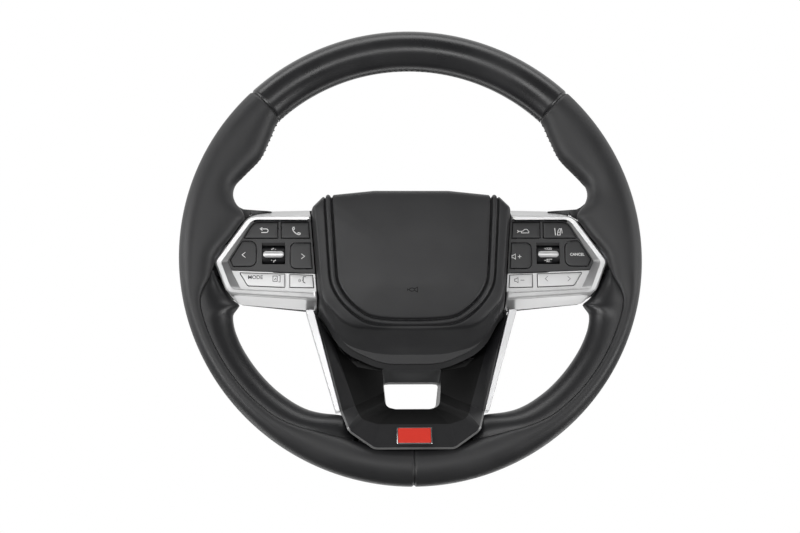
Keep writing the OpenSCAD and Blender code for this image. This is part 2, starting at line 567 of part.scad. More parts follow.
module inflator() {
    seat_z = retainer_z + retainer_t;
    color("#b4b7ba") face() {
        translate([0, 0, -34]) cylinder(d1 = inflator_d - 6, d2 = inflator_d, h = 3);
        translate([0, 0, -31]) cylinder(d = inflator_d, h = 31 + seat_z + 5);
        difference() {
            translate([0, 0, seat_z + 0.02]) cylinder(r = stud_r + 6, h = 2);
            for (p = PIN_PLACES) translate([p[0], p[1], -40]) cylinder(d = pin_d + 5, h = 40);
        }
        for (a = STUD_ANGLES) rotate(a) translate([stud_r, 0, retainer_z - nut_h - 2])
            cylinder(d = stud_d, h = nut_h + 3 + retainer_t);
    }
}
module inflator_nuts() {
    color("#c3c5c8") face() for (a = STUD_ANGLES) rotate(a) translate([stud_r, 0, retainer_z - nut_h - 0.02])
        difference() {
            cylinder(d = 11.5, h = nut_h, $fn = 6);
            translate([0, 0, -1]) cylinder(d = stud_d + 0.1, h = nut_h + 2);
        }
}
head_t = 1.5;
pin_foot = plate_top - arm_t - 1.2 - head_t;
module horn_guide_pins() {
    color("#d0d2d4") face() for (p = PIN_PLACES) translate([p[0], p[1], 0]) {
        translate([0, 0, pin_foot]) cylinder(d = pin_d, h = retainer_z + retainer_t - pin_foot);
        translate([0, 0, pin_foot]) cylinder(d = pin_d + 4, h = head_t);
        translate([0, 0, retainer_z + retainer_t]) cylinder(d = pin_d + 3, h = head_t);
    }
}
module horn_bushings() {
    color("#e3e1da") face() for (p = PIN_PLACES) translate([p[0], p[1], 0]) difference() {
        union() {
            translate([0, 0, plate_top - arm_t - 1.1]) cylinder(d = pin_d + 2 * bush_wall, h = arm_t + 1.1);
            translate([0, 0, plate_top + 0.02]) cylinder(d = pin_d + 2 * bush_wall + 4, h = 1);
            translate([0, 0, plate_top - 0.5]) cylinder(d = pin_d + 2 * bush_wall, h = 1);
        }
        translate([0, 0, -70]) cylinder(d = pin_d + 0.1, h = 60);
    }
}
module horn_springs() {
    turns = 4;
    low = plate_top + 1.05 + spring_wire / 2;
    high = retainer_z - 0.05 - spring_wire / 2;
    r = pin_d / 2 + 1.2 + spring_wire / 2;
    color("#9a9da1") face() for (p = PIN_PLACES) translate([p[0], p[1], 0])
        skin([for (i = [0:12 * turns]) let (a = 30 * i, z = low + (high - low) * i / (12 * turns))
            [for (k = [0:4]) let (b = 72 * k, q = r + spring_wire / 2 * cos(b))
                [q * cos(a), q * sin(a), z + spring_wire / 2 * sin(b)]]]);
}

// Lower spoke: front cover with its window, silver side trims, plate and rear cover.
SPOKE_OUT = both_sides([low(32.5, -161.8, 9), low(53, -147, 10), low(58.5, -128.6, 2), low(79.9, -44.6, 1),
    low(50, -83, 6)]);
SPOKE_BAND = both_sides([low(29, -141, 6), low(43, -136, 9), low(47, -124, 6), low(66, -62, 2),
    low(46, -85, 5)]);
SPOKE_FLOOR = both_sides([low(22, -133, 6), low(32, -129, 8), low(36, -118, 8), low(46, -84, 3),
    low(36, -88, 4)]);
WINDOW = both_sides([low(14, -126, 5), low(22, -124, 6), low(23, -112, 3), low(24.3, -92, 2),
    low(19, -91.5, 1)]);
WINDOW_REAR = both_sides([low(13, -124.5, 5), low(20.4, -122.6, 6), low(21.4, -114, 3), low(22.8, -102, 2),
    low(18, -101.5, 1)]);
OUT_Z = [16.2, 13.6, -6, -10, -21];
BAND_Z = [11.5, 9, -2, -21, -17.5];
FLOOR_Z = [0, -3, -9, -19.5, -20];
WINDOW_Z = [-10, -10, -12, -17, -17];
module lower_spoke_cover() {
    t = spoke_t;
    color("#2c2d30") face() skin([
        lift(inset(SPOKE_OUT, 0.4), [14.2, 11.6, spoke_rear, -20.8, -24]), lift(SPOKE_OUT, OUT_Z),
        lift(inset(SPOKE_OUT, 1.5), lower(OUT_Z, -1)), lift(SPOKE_BAND, BAND_Z), lift(SPOKE_FLOOR, FLOOR_Z),
        lift(WINDOW, WINDOW_Z), lift(WINDOW_REAR, flat(window_rear)),
        lift(inset(WINDOW_REAR, -t), flat(window_rear)), lift(inset(WINDOW, -t), lower(WINDOW_Z, t)),
        lift(SPOKE_FLOOR, lower(FLOOR_Z, t)), lift(SPOKE_BAND, lower(BAND_Z, t)),
        lift(inset(SPOKE_OUT, t + 0.6), lower(OUT_Z, t)),
        lift(inset(SPOKE_OUT, t + 0.6), [13, 10.4, spoke_rear, -20.8, -24.2])
    ], ring = true);
}
module lower_trim(left) {
    color("#c4c6c8") face() side(left) block([
        low(58.9, -127.6, 0.3), low(62.4, -128, 0.5), low(86.7, -44.2, 0.5), low(80.4, -44.2, 0.3)
    ], spoke_rear, -7);
}
module spoke_plate() {
    w = plate_w / 2;
    h = plate_h / 2;
    color("#b3241f") face() translate([0, -151 * rim_k, 15]) rotate([-16.6, 0, 0])
        block([[-w, -h, 1], [w, -h, 1], [w, h, 1], [-w, h, 1]], 0, 1.4);
}
REAR_LOW = both_sides([low(34, -163, 8), low(54, -149, 10), low(58, -128, 4), low(74, -76, 3),
    low(40, -76.5, 3)]);
module lower_rear_cover() {
    t = spoke_t;
    front = [-18.6, -18.8, spoke_rear - 0.4, -38, -38];
    back = [-34, -35, -37, -41, -41];
    rear = window_rear - 0.3;
    color("#222326") face() skin([
        lift(REAR_LOW, front), lift(inset(REAR_LOW, 5), back), lift(WINDOW_REAR, flat(-40)),
        lift(WINDOW_REAR, flat(rear)),
        lift(inset(WINDOW_REAR, -t), flat(rear)), lift(inset(WINDOW_REAR, -t), flat(-40 + t)),
        lift(inset(REAR_LOW, 5 + t), lower(back, -t)), lift(inset(REAR_LOW, t), lower(front, -0.5))
    ], ring = true);
}

// Rear cover behind the hub and the side spokes, open for the steering column.
REAR_OUT = both_sides([core(30, -73, 8), core(66, -69, 8), core(79, -44, 4), out(22, -38, 6),
    out(-8, -20, 8), out(-8, 16, 8), out(34, 40.6, 8),
    core(82, 41.6, 4), core(66, 46, 10), core(26, 48, 16)]);
REAR_MID = both_sides([core(28, -70, 8), core(58, -66, 8), core(73, -42, 4), out(25, -35, 6),
    out(-1, -17, 8), out(-1, 13, 8), out(36, 37, 8),
    core(78, 38, 4), core(62, 43, 10), core(24, 45, 16)]);
REAR_DEEP = both_sides([core(22, -64, 8), core(42, -58, 8), core(62, -36, 6), core(74, -28, 6),
    core(82, -14, 6), core(82, 10, 6), core(76, 26, 6),
    core(62, 34, 6), core(46, 38, 8), core(20, 40, 12)]);
REAR_FLAT = both_sides([core(18, -48, 8), core(32, -43, 8), core(44, -32, 6), core(51, -21, 6),
    core(55, -9, 6), core(55, 7, 6), core(51, 19, 6),
    core(43, 28, 6), core(33, 34, 8), core(16, 36, 10)]);
function ring_points(points, r) = [for (p = points) r * unit([p[0], p[1]])];
REAR_FRONT_Z = [-43, -43, -21.2, -21.2, -17.5, -17.5, -20.4, -20.4, -20.4, -20.4];
REAR_MID_Z = [-47, -47, -39, -36, -33, -33, -36, -37, -37, -37];
module rear_cover() {
    s = 3;
    t = spoke_t;
    hole = ring_points(rounded(REAR_FLAT, s), hub_hole);
    color("#222326") face() difference() {
        skin([
            lift(REAR_OUT, REAR_FRONT_Z, s), lift(REAR_MID, REAR_MID_Z, s),
            raise(rounded(REAR_DEEP, s), rear_z + 3), raise(rounded(REAR_FLAT, s), rear_z),
            raise(hole, rear_z), raise(hole, rear_z + t),
            raise(rounded(inset(REAR_FLAT, t), s), rear_z + t),
            raise(rounded(inset(REAR_DEEP, t), s), rear_z + 3 + t),
            lift(inset(REAR_MID, t), lower(REAR_MID_Z, -t), s), lift(inset(REAR_OUT, t), REAR_FRONT_Z, s)
        ], ring = true);
        for (p = COVER_SCREWS) translate([p[0], p[1], rear_z - 5]) cylinder(d = screw_d + 0.4, h = 12);
    }
}
module rear_cover_screws() {
    color("#9fa2a5") face() for (p = COVER_SCREWS) translate([p[0], p[1], rear_z]) {
        translate([0, 0, -0.1]) cylinder(d = screw_d, h = plate_top - rear_z);
        translate([0, 0, -2.05]) cylinder(d = 7, h = 2);
    }
}

armature();
rim_ring();
hub_insert();
rim_foam();
grip_top();
grip(true);  // grip_left
grip(false);  // grip_right
inner_trim(true);  // inner_trim_left
inner_trim(false);  // inner_trim_right
bezel(true);  // bezel_left
bezel(false);  // bezel_right
switch_panel(true);  // switch_panel_left
switch_panel(false);  // switch_panel_right
lower_panel(true);  // lower_panel_left
lower_panel(false);  // lower_panel_right
switch_housing(true);  // switch_housing_left
switch_housing(false);  // switch_housing_right
switch_board(true);  // switch_board_left
switch_board(false);  // switch_board_right
dome_mat(true);  // dome_mat_left
dome_mat(false);  // dome_mat_right
push_key(OUTER_TOP_KEY, "#202124", true);  // back_key
push_key(INNER_TOP_KEY, "#202124", true);  // phone_key
push_key(OUTER_KEY, "#202124", true);  // previous_key
push_key(INNER_KEY, "#202124", true);  // next_key
rocker(true);  // mode_rocker
push_key(INNER_LOW_KEY, "#c9cbcd", true);  // voice_key
push_key(OUTER_TOP_KEY, "#202124", false);  // lane_key
push_key(INNER_TOP_KEY, "#202124", false);  // distance_key
push_key(OUTER_KEY, "#202124", false);  // cancel_key
push_key(INNER_KEY, "#202124", false);  // volume_up_key
rocker(false);  // seek_rocker
push_key(INNER_LOW_KEY, "#c9cbcd", false);  // volume_down_key
roller(true);  // roller_left
roller(false);  // roller_right
roller_bar(true);  // roller_bar_left
roller_bar(false);  // roller_bar_right
airbag_cover();
airbag_retainer();
airbag_cushion();
inflator();
inflator_nuts();
horn_guide_pins();
horn_springs();
horn_bushings();
lower_spoke_cover();
lower_trim(true);  // lower_trim_left
lower_trim(false);  // lower_trim_right
spoke_plate();
lower_rear_cover();
rear_cover();
rear_cover_screws();
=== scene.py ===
"""Looks of the car steering wheel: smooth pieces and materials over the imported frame.

Sizes are in millimetres on the wheel's face (x to the driver's right, y up, z towards the driver) and are
turned into the row frame by place(). The outlines and tables repeat the ones in part.scad.
"""
import math

import bmesh
import bpy
import numpy as np
from mathutils import Matrix, Vector
from mathutils.bvhtree import BVHTree
from mathutils.geometry import tessellate_polygon

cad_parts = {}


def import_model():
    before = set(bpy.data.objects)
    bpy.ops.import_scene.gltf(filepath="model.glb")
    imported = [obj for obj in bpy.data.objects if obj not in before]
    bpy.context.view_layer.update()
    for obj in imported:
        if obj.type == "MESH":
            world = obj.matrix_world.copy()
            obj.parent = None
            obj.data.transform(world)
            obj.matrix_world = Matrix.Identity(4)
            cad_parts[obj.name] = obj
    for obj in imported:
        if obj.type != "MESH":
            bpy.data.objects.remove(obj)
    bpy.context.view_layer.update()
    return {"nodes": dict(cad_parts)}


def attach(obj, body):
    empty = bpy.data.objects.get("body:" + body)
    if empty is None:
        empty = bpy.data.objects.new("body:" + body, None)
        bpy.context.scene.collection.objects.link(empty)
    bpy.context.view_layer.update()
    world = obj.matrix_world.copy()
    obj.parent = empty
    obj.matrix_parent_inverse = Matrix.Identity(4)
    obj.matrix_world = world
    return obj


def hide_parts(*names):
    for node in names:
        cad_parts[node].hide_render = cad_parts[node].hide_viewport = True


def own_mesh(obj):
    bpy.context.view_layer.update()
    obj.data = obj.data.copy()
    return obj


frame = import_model()
scene = bpy.context.scene

# ---------------------------------------------------------------- sizes
RIM_R, CREST, RING_R = 190.0, 17.0, 173.5
DISH = 70.0
LEATHER = 1.6
TOP_HALF = 43.7
FRONT_EDGE = [(0, 33), (43.7, 33.2), (49.5, 38.2), (56.5, 42.2), (63, 38.6), (68, 34.8), (71, 35.6), (73.5, 40),
              (76, 48), (78, 50.4), (80, 48), (85, 41.4), (91, 30.4), (93.5, 28.4), (97.4, 23.6), (100.5, 17.4),
              (103, 13.8), (107, 12.5), (125, 12.7), (135, 14.1), (141, 15.8), (147.3, 20), (152.2, 24.1),
              (158, 27.5), (162, 29.5), (180, 30)]
FRONT_HEIGHT = [(0, 0.15), (64, 0.15), (70, 1.5), (76, 4.4), (93.5, 6.5), (98, 11), (103, 13), (147, 13),
                (158, 8), (164, 3), (180, 3)]
REAR_EDGE = [(0, 33), (43.7, 33.2), (49.5, 38.2), (56.5, 42.2), (63, 38.6), (68, 33), (72, 26), (77, 20),
             (98, 20), (103, 25), (109, 28), (150, 29), (156, 25), (162, 20), (180, 20)]
REAR_HEIGHT = [(0, -0.15), (64, -0.15), (70, -9), (77, -15.5), (98, -15.5), (104, -13.5), (150, -13.5),
               (162, -15.5), (180, -15.5)]
CREST_INSET = [(0, 16.5), (70, 16.5), (92, 14), (103, 8.5), (135, 9), (150, 13), (162, 14), (180, 14)]
OPENING_EDGE = [(93.5, 28.6), (99, 33.5), (104, 39.5), (106.4, 43.5), (107.4, 40.5), (108.4, 37), (109.6, 35.4),
                (111.5, 34.1), (114, 33.1), (120, 32.4), (133, 33.2), (141, 35), (145.7, 37), (149.4, 39.9),
                (155.6, 45.8), (158, 46), (161, 45), (165, 42)]
AIRBAG_HALF = 82.3
REACH = RIM_R - 29.1
KEY_GAP = 0.5
PIN_PLACES = [(-54, 20), (54, 20), (0, -54)]
PANEL_FRONT, PANEL_BACK, LEDGE = -3.0, -5.2, -9.5
KEY_TOP = PANEL_FRONT + 0.5
SEAM_PITCH = 5.5


# ---------------------------------------------------------------- geometry helpers
def curve(table, a):
    """Smooth value of a table of (angle, value) pairs, as in part.scad."""
    i = 0
    while i < len(table) - 2 and a >= table[i + 1][0]:
        i += 1

    def slope(k):
        if k <= 0 or k >= len(table) - 1:
            return 0.0
        return (table[k + 1][1] - table[k - 1][1]) / (table[k + 1][0] - table[k - 1][0])
    h = table[i + 1][0] - table[i][0]
    u = min(1.0, max(0.0, (a - table[i][0]) / h))
    return ((2 * u**3 - 3 * u**2 + 1) * table[i][1] + (u**3 - 2 * u**2 + u) * h * slope(i)
            + (3 * u**2 - 2 * u**3) * table[i + 1][1] + (u**3 - u**2) * h * slope(i + 1))


def unit(v):
    return v / np.linalg.norm(v)


def both_sides(half):
    return half + [(-x, y, r) for x, y, r in reversed(half)]


def inset(corners, d):
    out = []
    for i, (x, y, r) in enumerate(corners):
        p = np.array([x, y])
        u = unit(p - np.array(corners[i - 1][:2]))
        v = unit(np.array(corners[(i + 1) % len(corners)][:2]) - p)
        n, m = np.array([-u[1], u[0]]), np.array([-v[1], v[0]])
        q = p + d * (n + m) / (1 + n @ m)
        out.append((q[0], q[1], max(0.1, r - d)))
    return out


def rounded(corners, steps=10):
    """Points of an outline whose corners (x, y, radius) are rounded."""
    out = []
    for i, (x, y, r) in enumerate(corners):
        p = np.array([x, y])
        u = unit(np.array(corners[i - 1][:2]) - p)
        v = unit(np.array(corners[(i + 1) % len(corners)][:2]) - p)
        half = math.acos(max(-1, min(1, u @ v))) / 2
        centre = p + unit(u + v) * r / math.sin(half)
        start = p + u * r / math.tan(half) - centre
        a0 = math.atan2(start[1], start[0])
        sweep = math.pi - 2 * half
        turn = 1 if u[0] * v[1] - u[1] * v[0] < 0 else -1
        for k in range(steps):
            a = a0 + turn * sweep * k / (steps - 1)
            out.append((centre[0] + r * math.cos(a), centre[1] + r * math.sin(a)))
    return np.array(out)


def inside(corners, x, y):
    """Whether a point lies within an outline of corners."""
    odd = False
    for i, (x0, y0, _) in enumerate(corners):
        x1, y1, _ = corners[i - 1]
        if (y0 > y) != (y1 > y) and x < x0 + (y - y0) / (y1 - y0) * (x1 - x0):
            odd = not odd
    return odd


def raise_to(points, z):
    return [(p[0], p[1], z) for p in points]


def lift(corners, heights, steps=10):
    """Each corner at its own height, the same on both sides."""
    full = list(heights) + list(reversed(heights))
    pts = rounded(corners, steps)
    return [(pts[i * steps + k][0], pts[i * steps + k][1], full[i]) for i in range(len(corners)) for k in range(steps)]


def resample(loop, n):
    """The same closed loop with n points, evenly spaced along it."""
    p = np.array(loop + [loop[0]], float) if isinstance(loop, list) else np.vstack([loop, loop[:1]])
    s = np.r_[0, np.cumsum(np.linalg.norm(np.diff(p, axis=0), axis=1))]
    t = np.linspace(0, s[-1], n, endpoint=False)
    return np.stack([np.interp(t, s, p[:, k]) for k in range(p.shape[1])], 1)


def place(p):
    """A point on the wheel's face, in millimetres, to the row frame in metres."""
    return (p[0] / 1000, (-DISH - p[2]) / 1000, p[1] / 1000)


def make(name, verts, faces, material, body="wheel", smooth=35, bevel=0.0, bevel_angle=30, segments=2, mirror=False):
    """A mesh piece from face coordinates. Its faces are turned outwards, and sharp edges get a small bevel."""
    mesh = bpy.data.meshes.new(name)
    pts = [(-p[0], p[1], p[2]) if mirror else p for p in verts]
    mesh.from_pydata([place(p) for p in pts], [], faces)
    bm = bmesh.new()
    bm.from_mesh(mesh)
    bmesh.ops.remove_doubles(bm, verts=bm.verts, dist=2e-6)
    bmesh.ops.recalc_face_normals(bm, faces=bm.faces)
    bm.to_mesh(mesh)
    bm.free()
    piece = bpy.data.objects.new(name + "_look", mesh)
    scene.collection.objects.link(piece)
    mesh.materials.append(material)
    finish_edges(piece, smooth, bevel, bevel_angle, segments)
    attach(piece, body)
    return piece


def finish_edges(piece, smooth=35, bevel=0.0, bevel_angle=30, segments=2):
    piece.data.polygons.foreach_set("use_smooth", [True] * len(piece.data.polygons))
    if bevel:
        mod = piece.modifiers.new("edge", "BEVEL")
        mod.width = bevel / 1000
        mod.segments = segments
        mod.limit_method = "ANGLE"
        mod.angle_limit = math.radians(bevel_angle)
        mod.use_clamp_overlap = True
        mod.harden_normals = True
    else:
        piece.data.set_sharp_from_angle(angle=math.radians(smooth))


def loft_faces(m, n, closed_rows=False, closed_loop=True):
    faces = []
    for j in range(m if closed_rows else m - 1):
        for i in range(n if closed_loop else n - 1):
            a, b = j * n + i, j * n + (i + 1) % n
            k = ((j + 1) % m) * n
            faces.append((a, b, k + (i + 1) % n, k + i))
    return faces


def loft(name, loops, material, caps=True, ring=False, **options):
    n = len(loops[0])
    verts = [tuple(p) for loop in loops for p in loop]
    faces = loft_faces(len(loops), n, closed_rows=ring)
    if caps and not ring:
        faces.append(tuple(range(n - 1, -1, -1)))
        faces.append(tuple((len(loops) - 1) * n + i for i in range(n)))
    return make(name, verts, faces, material, **options)


def column(corners, z0, z1, steps=10):
    pts = rounded(corners, steps)
    return [raise_to(pts, z0), raise_to(pts, z1)]


def cut(piece, loops, mirror=False):
    """Takes the solid lofted over these loops out of a piece."""
    tool = loft("cutter", loops, piece.data.materials[0], mirror=mirror)
    mod = piece.modifiers.new("cut", "BOOLEAN")
    mod.operation, mod.solver, mod.object = "DIFFERENCE", "EXACT", tool
    apply_modifiers(piece)
    bpy.data.objects.remove(tool)


def apply_modifiers(piece):
    graph = bpy.context.evaluated_depsgraph_get()
    mesh = bpy.data.meshes.new_from_object(piece.evaluated_get(graph))
    piece.modifiers.clear()
    piece.data = mesh


def join(name, parts, body="wheel"):
    """One piece from several meshes, with their materials."""
    bm = bmesh.new()
    mesh = bpy.data.meshes.new(name)
    slots = []
    for part in parts:
        apply_modifiers(part)
        start = len(bm.faces)
        bm.from_mesh(part.data)
        bm.faces.ensure_lookup_table()
        for material in part.data.materials:
            if material not in slots:
                slots.append(material)
                mesh.materials.append(material)
        for face in bm.faces[start:]:
            face.material_index = slots.index(part.data.materials[face.material_index])
        bpy.data.objects.remove(part)
    bm.to_mesh(mesh)
    bm.free()
    piece = bpy.data.objects.new(name + "_look", mesh)
    scene.collection.objects.link(piece)
    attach(piece, body)
    return piece


# ---------------------------------------------------------------- materials
def shader(name, base, roughness, metallic=0.0, **sockets):
    material = bpy.data.materials.new(name)
    material.use_nodes = True
    node = material.node_tree.nodes["Principled BSDF"]
    node.inputs["Base Color"].default_value = (*base, 1)
    node.inputs["Roughness"].default_value = roughness
    node.inputs["Metallic"].default_value = metallic
    for key, value in sockets.items():
        node.inputs[key.replace("_", " ")].default_value = value
    return material


def texture(material, kind, scale, **settings):
    tree = material.node_tree
    coords = tree.nodes.get("coords") or tree.nodes.new("ShaderNodeTexCoord")
    coords.name = "coords"
    node = tree.nodes.new("ShaderNodeTex" + kind)
    node.inputs["Scale"].default_value = scale
    for key, value in settings.items():
        if key in node.inputs:
            node.inputs[key].default_value = value
        else:
            setattr(node, key, value)
    tree.links.new(coords.outputs["Object"], node.inputs["Vector"])
    return node


def remap(material, value, low, high, first, last):
    tree = material.node_tree
    node = tree.nodes.new("ShaderNodeMapRange")
    for key, number in zip(("From Min", "From Max", "To Min", "To Max"), (low, high, first, last)):
        node.inputs[key].default_value = number
    tree.links.new(value, node.inputs["Value"])
    return node.outputs["Result"]


def bump(material, value, depth, strength=1.0):
    """Adds a bump of this depth in millimetres under the ones already there."""
    tree = material.node_tree
    surface = tree.nodes["Principled BSDF"].inputs["Normal"]
    node = tree.nodes.new("ShaderNodeBump")
    node.inputs["Strength"].default_value = strength
    node.inputs["Distance"].default_value = depth / 1000
    tree.links.new(value, node.inputs["Height"])
    if surface.links:
        tree.links.new(surface.links[0].from_socket, node.inputs["Normal"])
    tree.links.new(node.outputs["Normal"], surface)


def vary(material, value, dark, light, low=0.3, high=0.7):
    """Base colour running between two colours with a texture."""
    tree = material.node_tree
    ramp = tree.nodes.new("ShaderNodeValToRGB")
    ramp.color_ramp.elements[0].position, ramp.color_ramp.elements[1].position = low, high
    ramp.color_ramp.elements[0].color = (*dark, 1)
    ramp.color_ramp.elements[1].color = (*light, 1)
    tree.links.new(value, ramp.inputs["Fac"])
    tree.links.new(ramp.outputs["Color"], tree.nodes["Principled BSDF"].inputs["Base Color"])


def roughen(material, value, low, high, first=0.3, last=0.7):
    material.node_tree.links.new(remap(material, value, first, last, low, high),
                                 material.node_tree.nodes["Principled BSDF"].inputs["Roughness"])


def leather(name, dark, light, rough, grain, depth):
    """Leather with pebbled grain, soft wrinkles and a little handling shine."""
    material = shader(name, light, rough)
    cells = texture(material, "Voronoi", 1000 / grain, feature="SMOOTH_F1", Smoothness=0.35)
    wrinkles = texture(material, "Noise", 260, Detail=5.0)
    patches = texture(material, "Noise", 28, Detail=3.0)
    bump(material, wrinkles.outputs["Fac"], depth * 1.6, 0.6)
    bump(material, cells.outputs["Distance"], depth, 0.9)
    vary(material, patches.outputs["Fac"], dark, light)
    roughen(material, patches.outputs["Fac"], rough - 0.04, rough + 0.05)
    return material


def moulded(name, dark, light, rough, grain, depth):
    """Moulded plastic with an eroded fine grain."""
    material = shader(name, light, rough)
    fine = texture(material, "Noise", 1000 / grain, Detail=4.0, Roughness=0.65)
    patches = texture(material, "Noise", 35, Detail=2.0)
    bump(material, fine.outputs["Fac"], depth, 0.8)
    vary(material, patches.outputs["Fac"], dark, light)
    roughen(material, fine.outputs["Fac"], rough - 0.05, rough + 0.06)
    return material


def metal(name, dark, light, rough, depth=0.01, metallic=1.0, grain=0.5):
    material = shader(name, light, rough, metallic)
    flakes = texture(material, "Noise", 1000 / grain, Detail=2.0)
    patches = texture(material, "Noise", 40, Detail=3.0)
    bump(material, flakes.outputs["Fac"], depth, 0.5)
    vary(material, patches.outputs["Fac"], dark, light)
    roughen(material, patches.outputs["Fac"], rough - 0.03, rough + 0.04)
    return material


SMOOTH_LEATHER = leather("smooth_leather", (0.013, 0.013, 0.014), (0.018, 0.018, 0.019), 0.30, 0.45, 0.010)
GRAINED_LEATHER = leather("grained_leather", (0.014, 0.014, 0.015), (0.020, 0.020, 0.021), 0.49, 0.8, 0.035)
AIRBAG = moulded("airbag_skin", (0.013, 0.013, 0.014), (0.018, 0.018, 0.019), 0.48, 0.5, 0.03)
TRIM = moulded("black_trim", (0.008, 0.008, 0.009), (0.012, 0.012, 0.013), 0.36, 0.6, 0.012)
REAR = moulded("rear_plastic", (0.016, 0.016, 0.017), (0.022, 0.022, 0.023), 0.52, 0.7, 0.05)
PANEL_BLACK = moulded("black_panel", (0.030, 0.030, 0.031), (0.036, 0.036, 0.037), 0.44, 0.5, 0.01)
KEY_BLACK = moulded("black_keys", (0.024, 0.024, 0.025), (0.029, 0.029, 0.030), 0.42, 0.4, 0.010)
RECESS = shader("recess_black", (0.003, 0.003, 0.003), 0.5, Specular_IOR_Level=0.22)
# a mid grey used as painted shade in the bezel's groove and as painted light on the spoke window's downward-facing top
# wall
LIGHT_AND_SHADE_GREY = moulded("painted_light_and_shade_grey", (0.050, 0.051, 0.052), (0.060, 0.061, 0.062), 0.5, 0.6, 0.012)
# painted highlight: a lighter, glossier black for the bright line along the lower spoke's bottom edge
EDGE_HIGHLIGHT_PAINT = moulded("painted_edge_highlight", (0.10, 0.10, 0.10), (0.14, 0.14, 0.14), 0.26, 0.8, 0.01)
LENS = shader("dark_lens", (0.010, 0.010, 0.011), 0.4, Specular_IOR_Level=0.3)
SILVER = metal("satin_silver", (0.60, 0.60, 0.60), (0.66, 0.66, 0.66), 0.34, 0.006, 0.55)
SILVER_KEY = metal("satin_keys", (0.58, 0.58, 0.58), (0.64, 0.64, 0.64), 0.38, 0.006, 0.35)
# satin silver of the lower side trims; on the bezel's lower pocket walls it is painted shade, darker than the bezel's
# own silver
TRIM_SILVER_AND_SHADE = metal("satin_trim_and_painted_shade", (0.50, 0.50, 0.505), (0.57, 0.57, 0.575), 0.38, 0.006)
ALLOY = metal("cast_alloy", (0.36, 0.37, 0.38), (0.50, 0.51, 0.52), 0.48, 0.12, 1.0, 1.6)
STEEL = metal("plated_steel", (0.46, 0.47, 0.48), (0.56, 0.57, 0.58), 0.30, 0.02)
FOAM = moulded("foam", (0.10, 0.10, 0.11), (0.14, 0.14, 0.15), 0.75, 1.2, 0.1)
BOARD = moulded("circuit_board", (0.02, 0.11, 0.05), (0.03, 0.15, 0.07), 0.35, 1.5, 0.02)
SILICONE = moulded("silicone", (0.42, 0.43, 0.44), (0.50, 0.51, 0.52), 0.6, 0.8, 0.02)
CLOTH = moulded("airbag_cloth", (0.55, 0.54, 0.50), (0.66, 0.65, 0.61), 0.85, 0.9, 0.15)
WHITE_PLASTIC = moulded("white_plastic", (0.68, 0.67, 0.63), (0.76, 0.75, 0.71), 0.45, 1.0, 0.01)
ENAMEL = shader("red_enamel", (0.58, 0.035, 0.022), 0.22, Coat_Weight=0.5)
CHROME = metal("bright_rim", (0.62, 0.63, 0.64), (0.72, 0.73, 0.74), 0.18, 0.002)
PAINT = shader("legend_paint", (0.80, 0.80, 0.79), 0.5)
INK = shader("legend_ink", (0.040, 0.041, 0.045), 0.5)
THREAD = moulded("thread", (0.012, 0.012, 0.013), (0.030, 0.030, 0.032), 0.6, 0.25, 0.05)
# painted shadow: near black on the bezel's ledge and upper pocket wall, and on the side walls round keys and key holes
PAINTED_SHADOW = moulded("shadow_gap", (0.006, 0.006, 0.006), (0.009, 0.009, 0.009), 0.7, 0.6, 0.01)


# ---------------------------------------------------------------- rim
def wrap(a, t, ends=14, outer=22):
    """Section of the leather at an angle from the top, t below its surface: list of (radius, height)."""
    f, fz = RIM_R - curve(FRONT_EDGE, a), curve(FRONT_HEIGHT, a)
    r, rz = RIM_R - curve(REAR_EDGE, a), curve(REAR_HEIGHT, a)
    c = RIM_R - curve(CREST_INSET, a)
    forward, back = min(1, fz / 6), min(1, -rz / 9)
    front = (f + t * (1 - forward), fz - t * forward)
    rear = (r + t * (1 - back), rz + t * back)
    out = []
    for k in range(ends):
        w = math.radians(90 * (1 - k / ends))
        out.append((c - (c - front[0]) * math.sin(w), front[1] + (CREST - t - front[1]) * math.cos(w)**0.85))
    for k in range(outer + 1):
        w = math.radians(90 - 180 * k / outer)
        out.append((c + (RIM_R - t - c) * abs(math.cos(w))**0.9, (CREST - t) * math.sin(w)))
    for k in range(1, ends + 1):
        w = math.radians(90 * k / ends)
        out.append((c - (c - rear[0]) * math.sin(w), rear[1] - (CREST - t + rear[1]) * max(0, math.cos(w))**0.85))
    return out


def station(section, a):
    s, c = math.sin(math.radians(a)), math.cos(math.radians(a))
    return [(r * s, r * c, z) for r, z in section]


def spaced(start, end, step):
    n = max(2, int(abs(end - start) / step))
    return [start + (end - start) * i / n for i in range(n + 1)]


def with_seams(angles, seams):
    """Adds close stations beside each seam, so that the leather can roll into it."""
    extra = []
    for s in seams:
        for d in (0.02, 0.12, 0.25, 0.42, 0.65, 0.95):
            extra += [s - d, s + d]
    low, high = min(angles), max(angles)
    return sorted(set(round(a, 4) for a in list(angles) + [e for e in extra if low < e < high]))


def roll(a, seams):
    """How far the leather dips beside a seam, in millimetres."""
    return sum(1.1 * math.exp(-((a - s) / 0.28)**2) for s in seams)


def leather_piece(name, angles, seams, material, mirror=False, top=False):
    loops = []
    for a in angles:
        dip = roll(a, seams)
        outer = wrap(0 if top else a, dip)
        inner = wrap(0 if top else a, LEATHER, )
        loops.append(station(outer + inner[::-1], a))
    piece = loft(name, loops, material, mirror=mirror, smooth=50)
    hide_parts(name)
    return piece


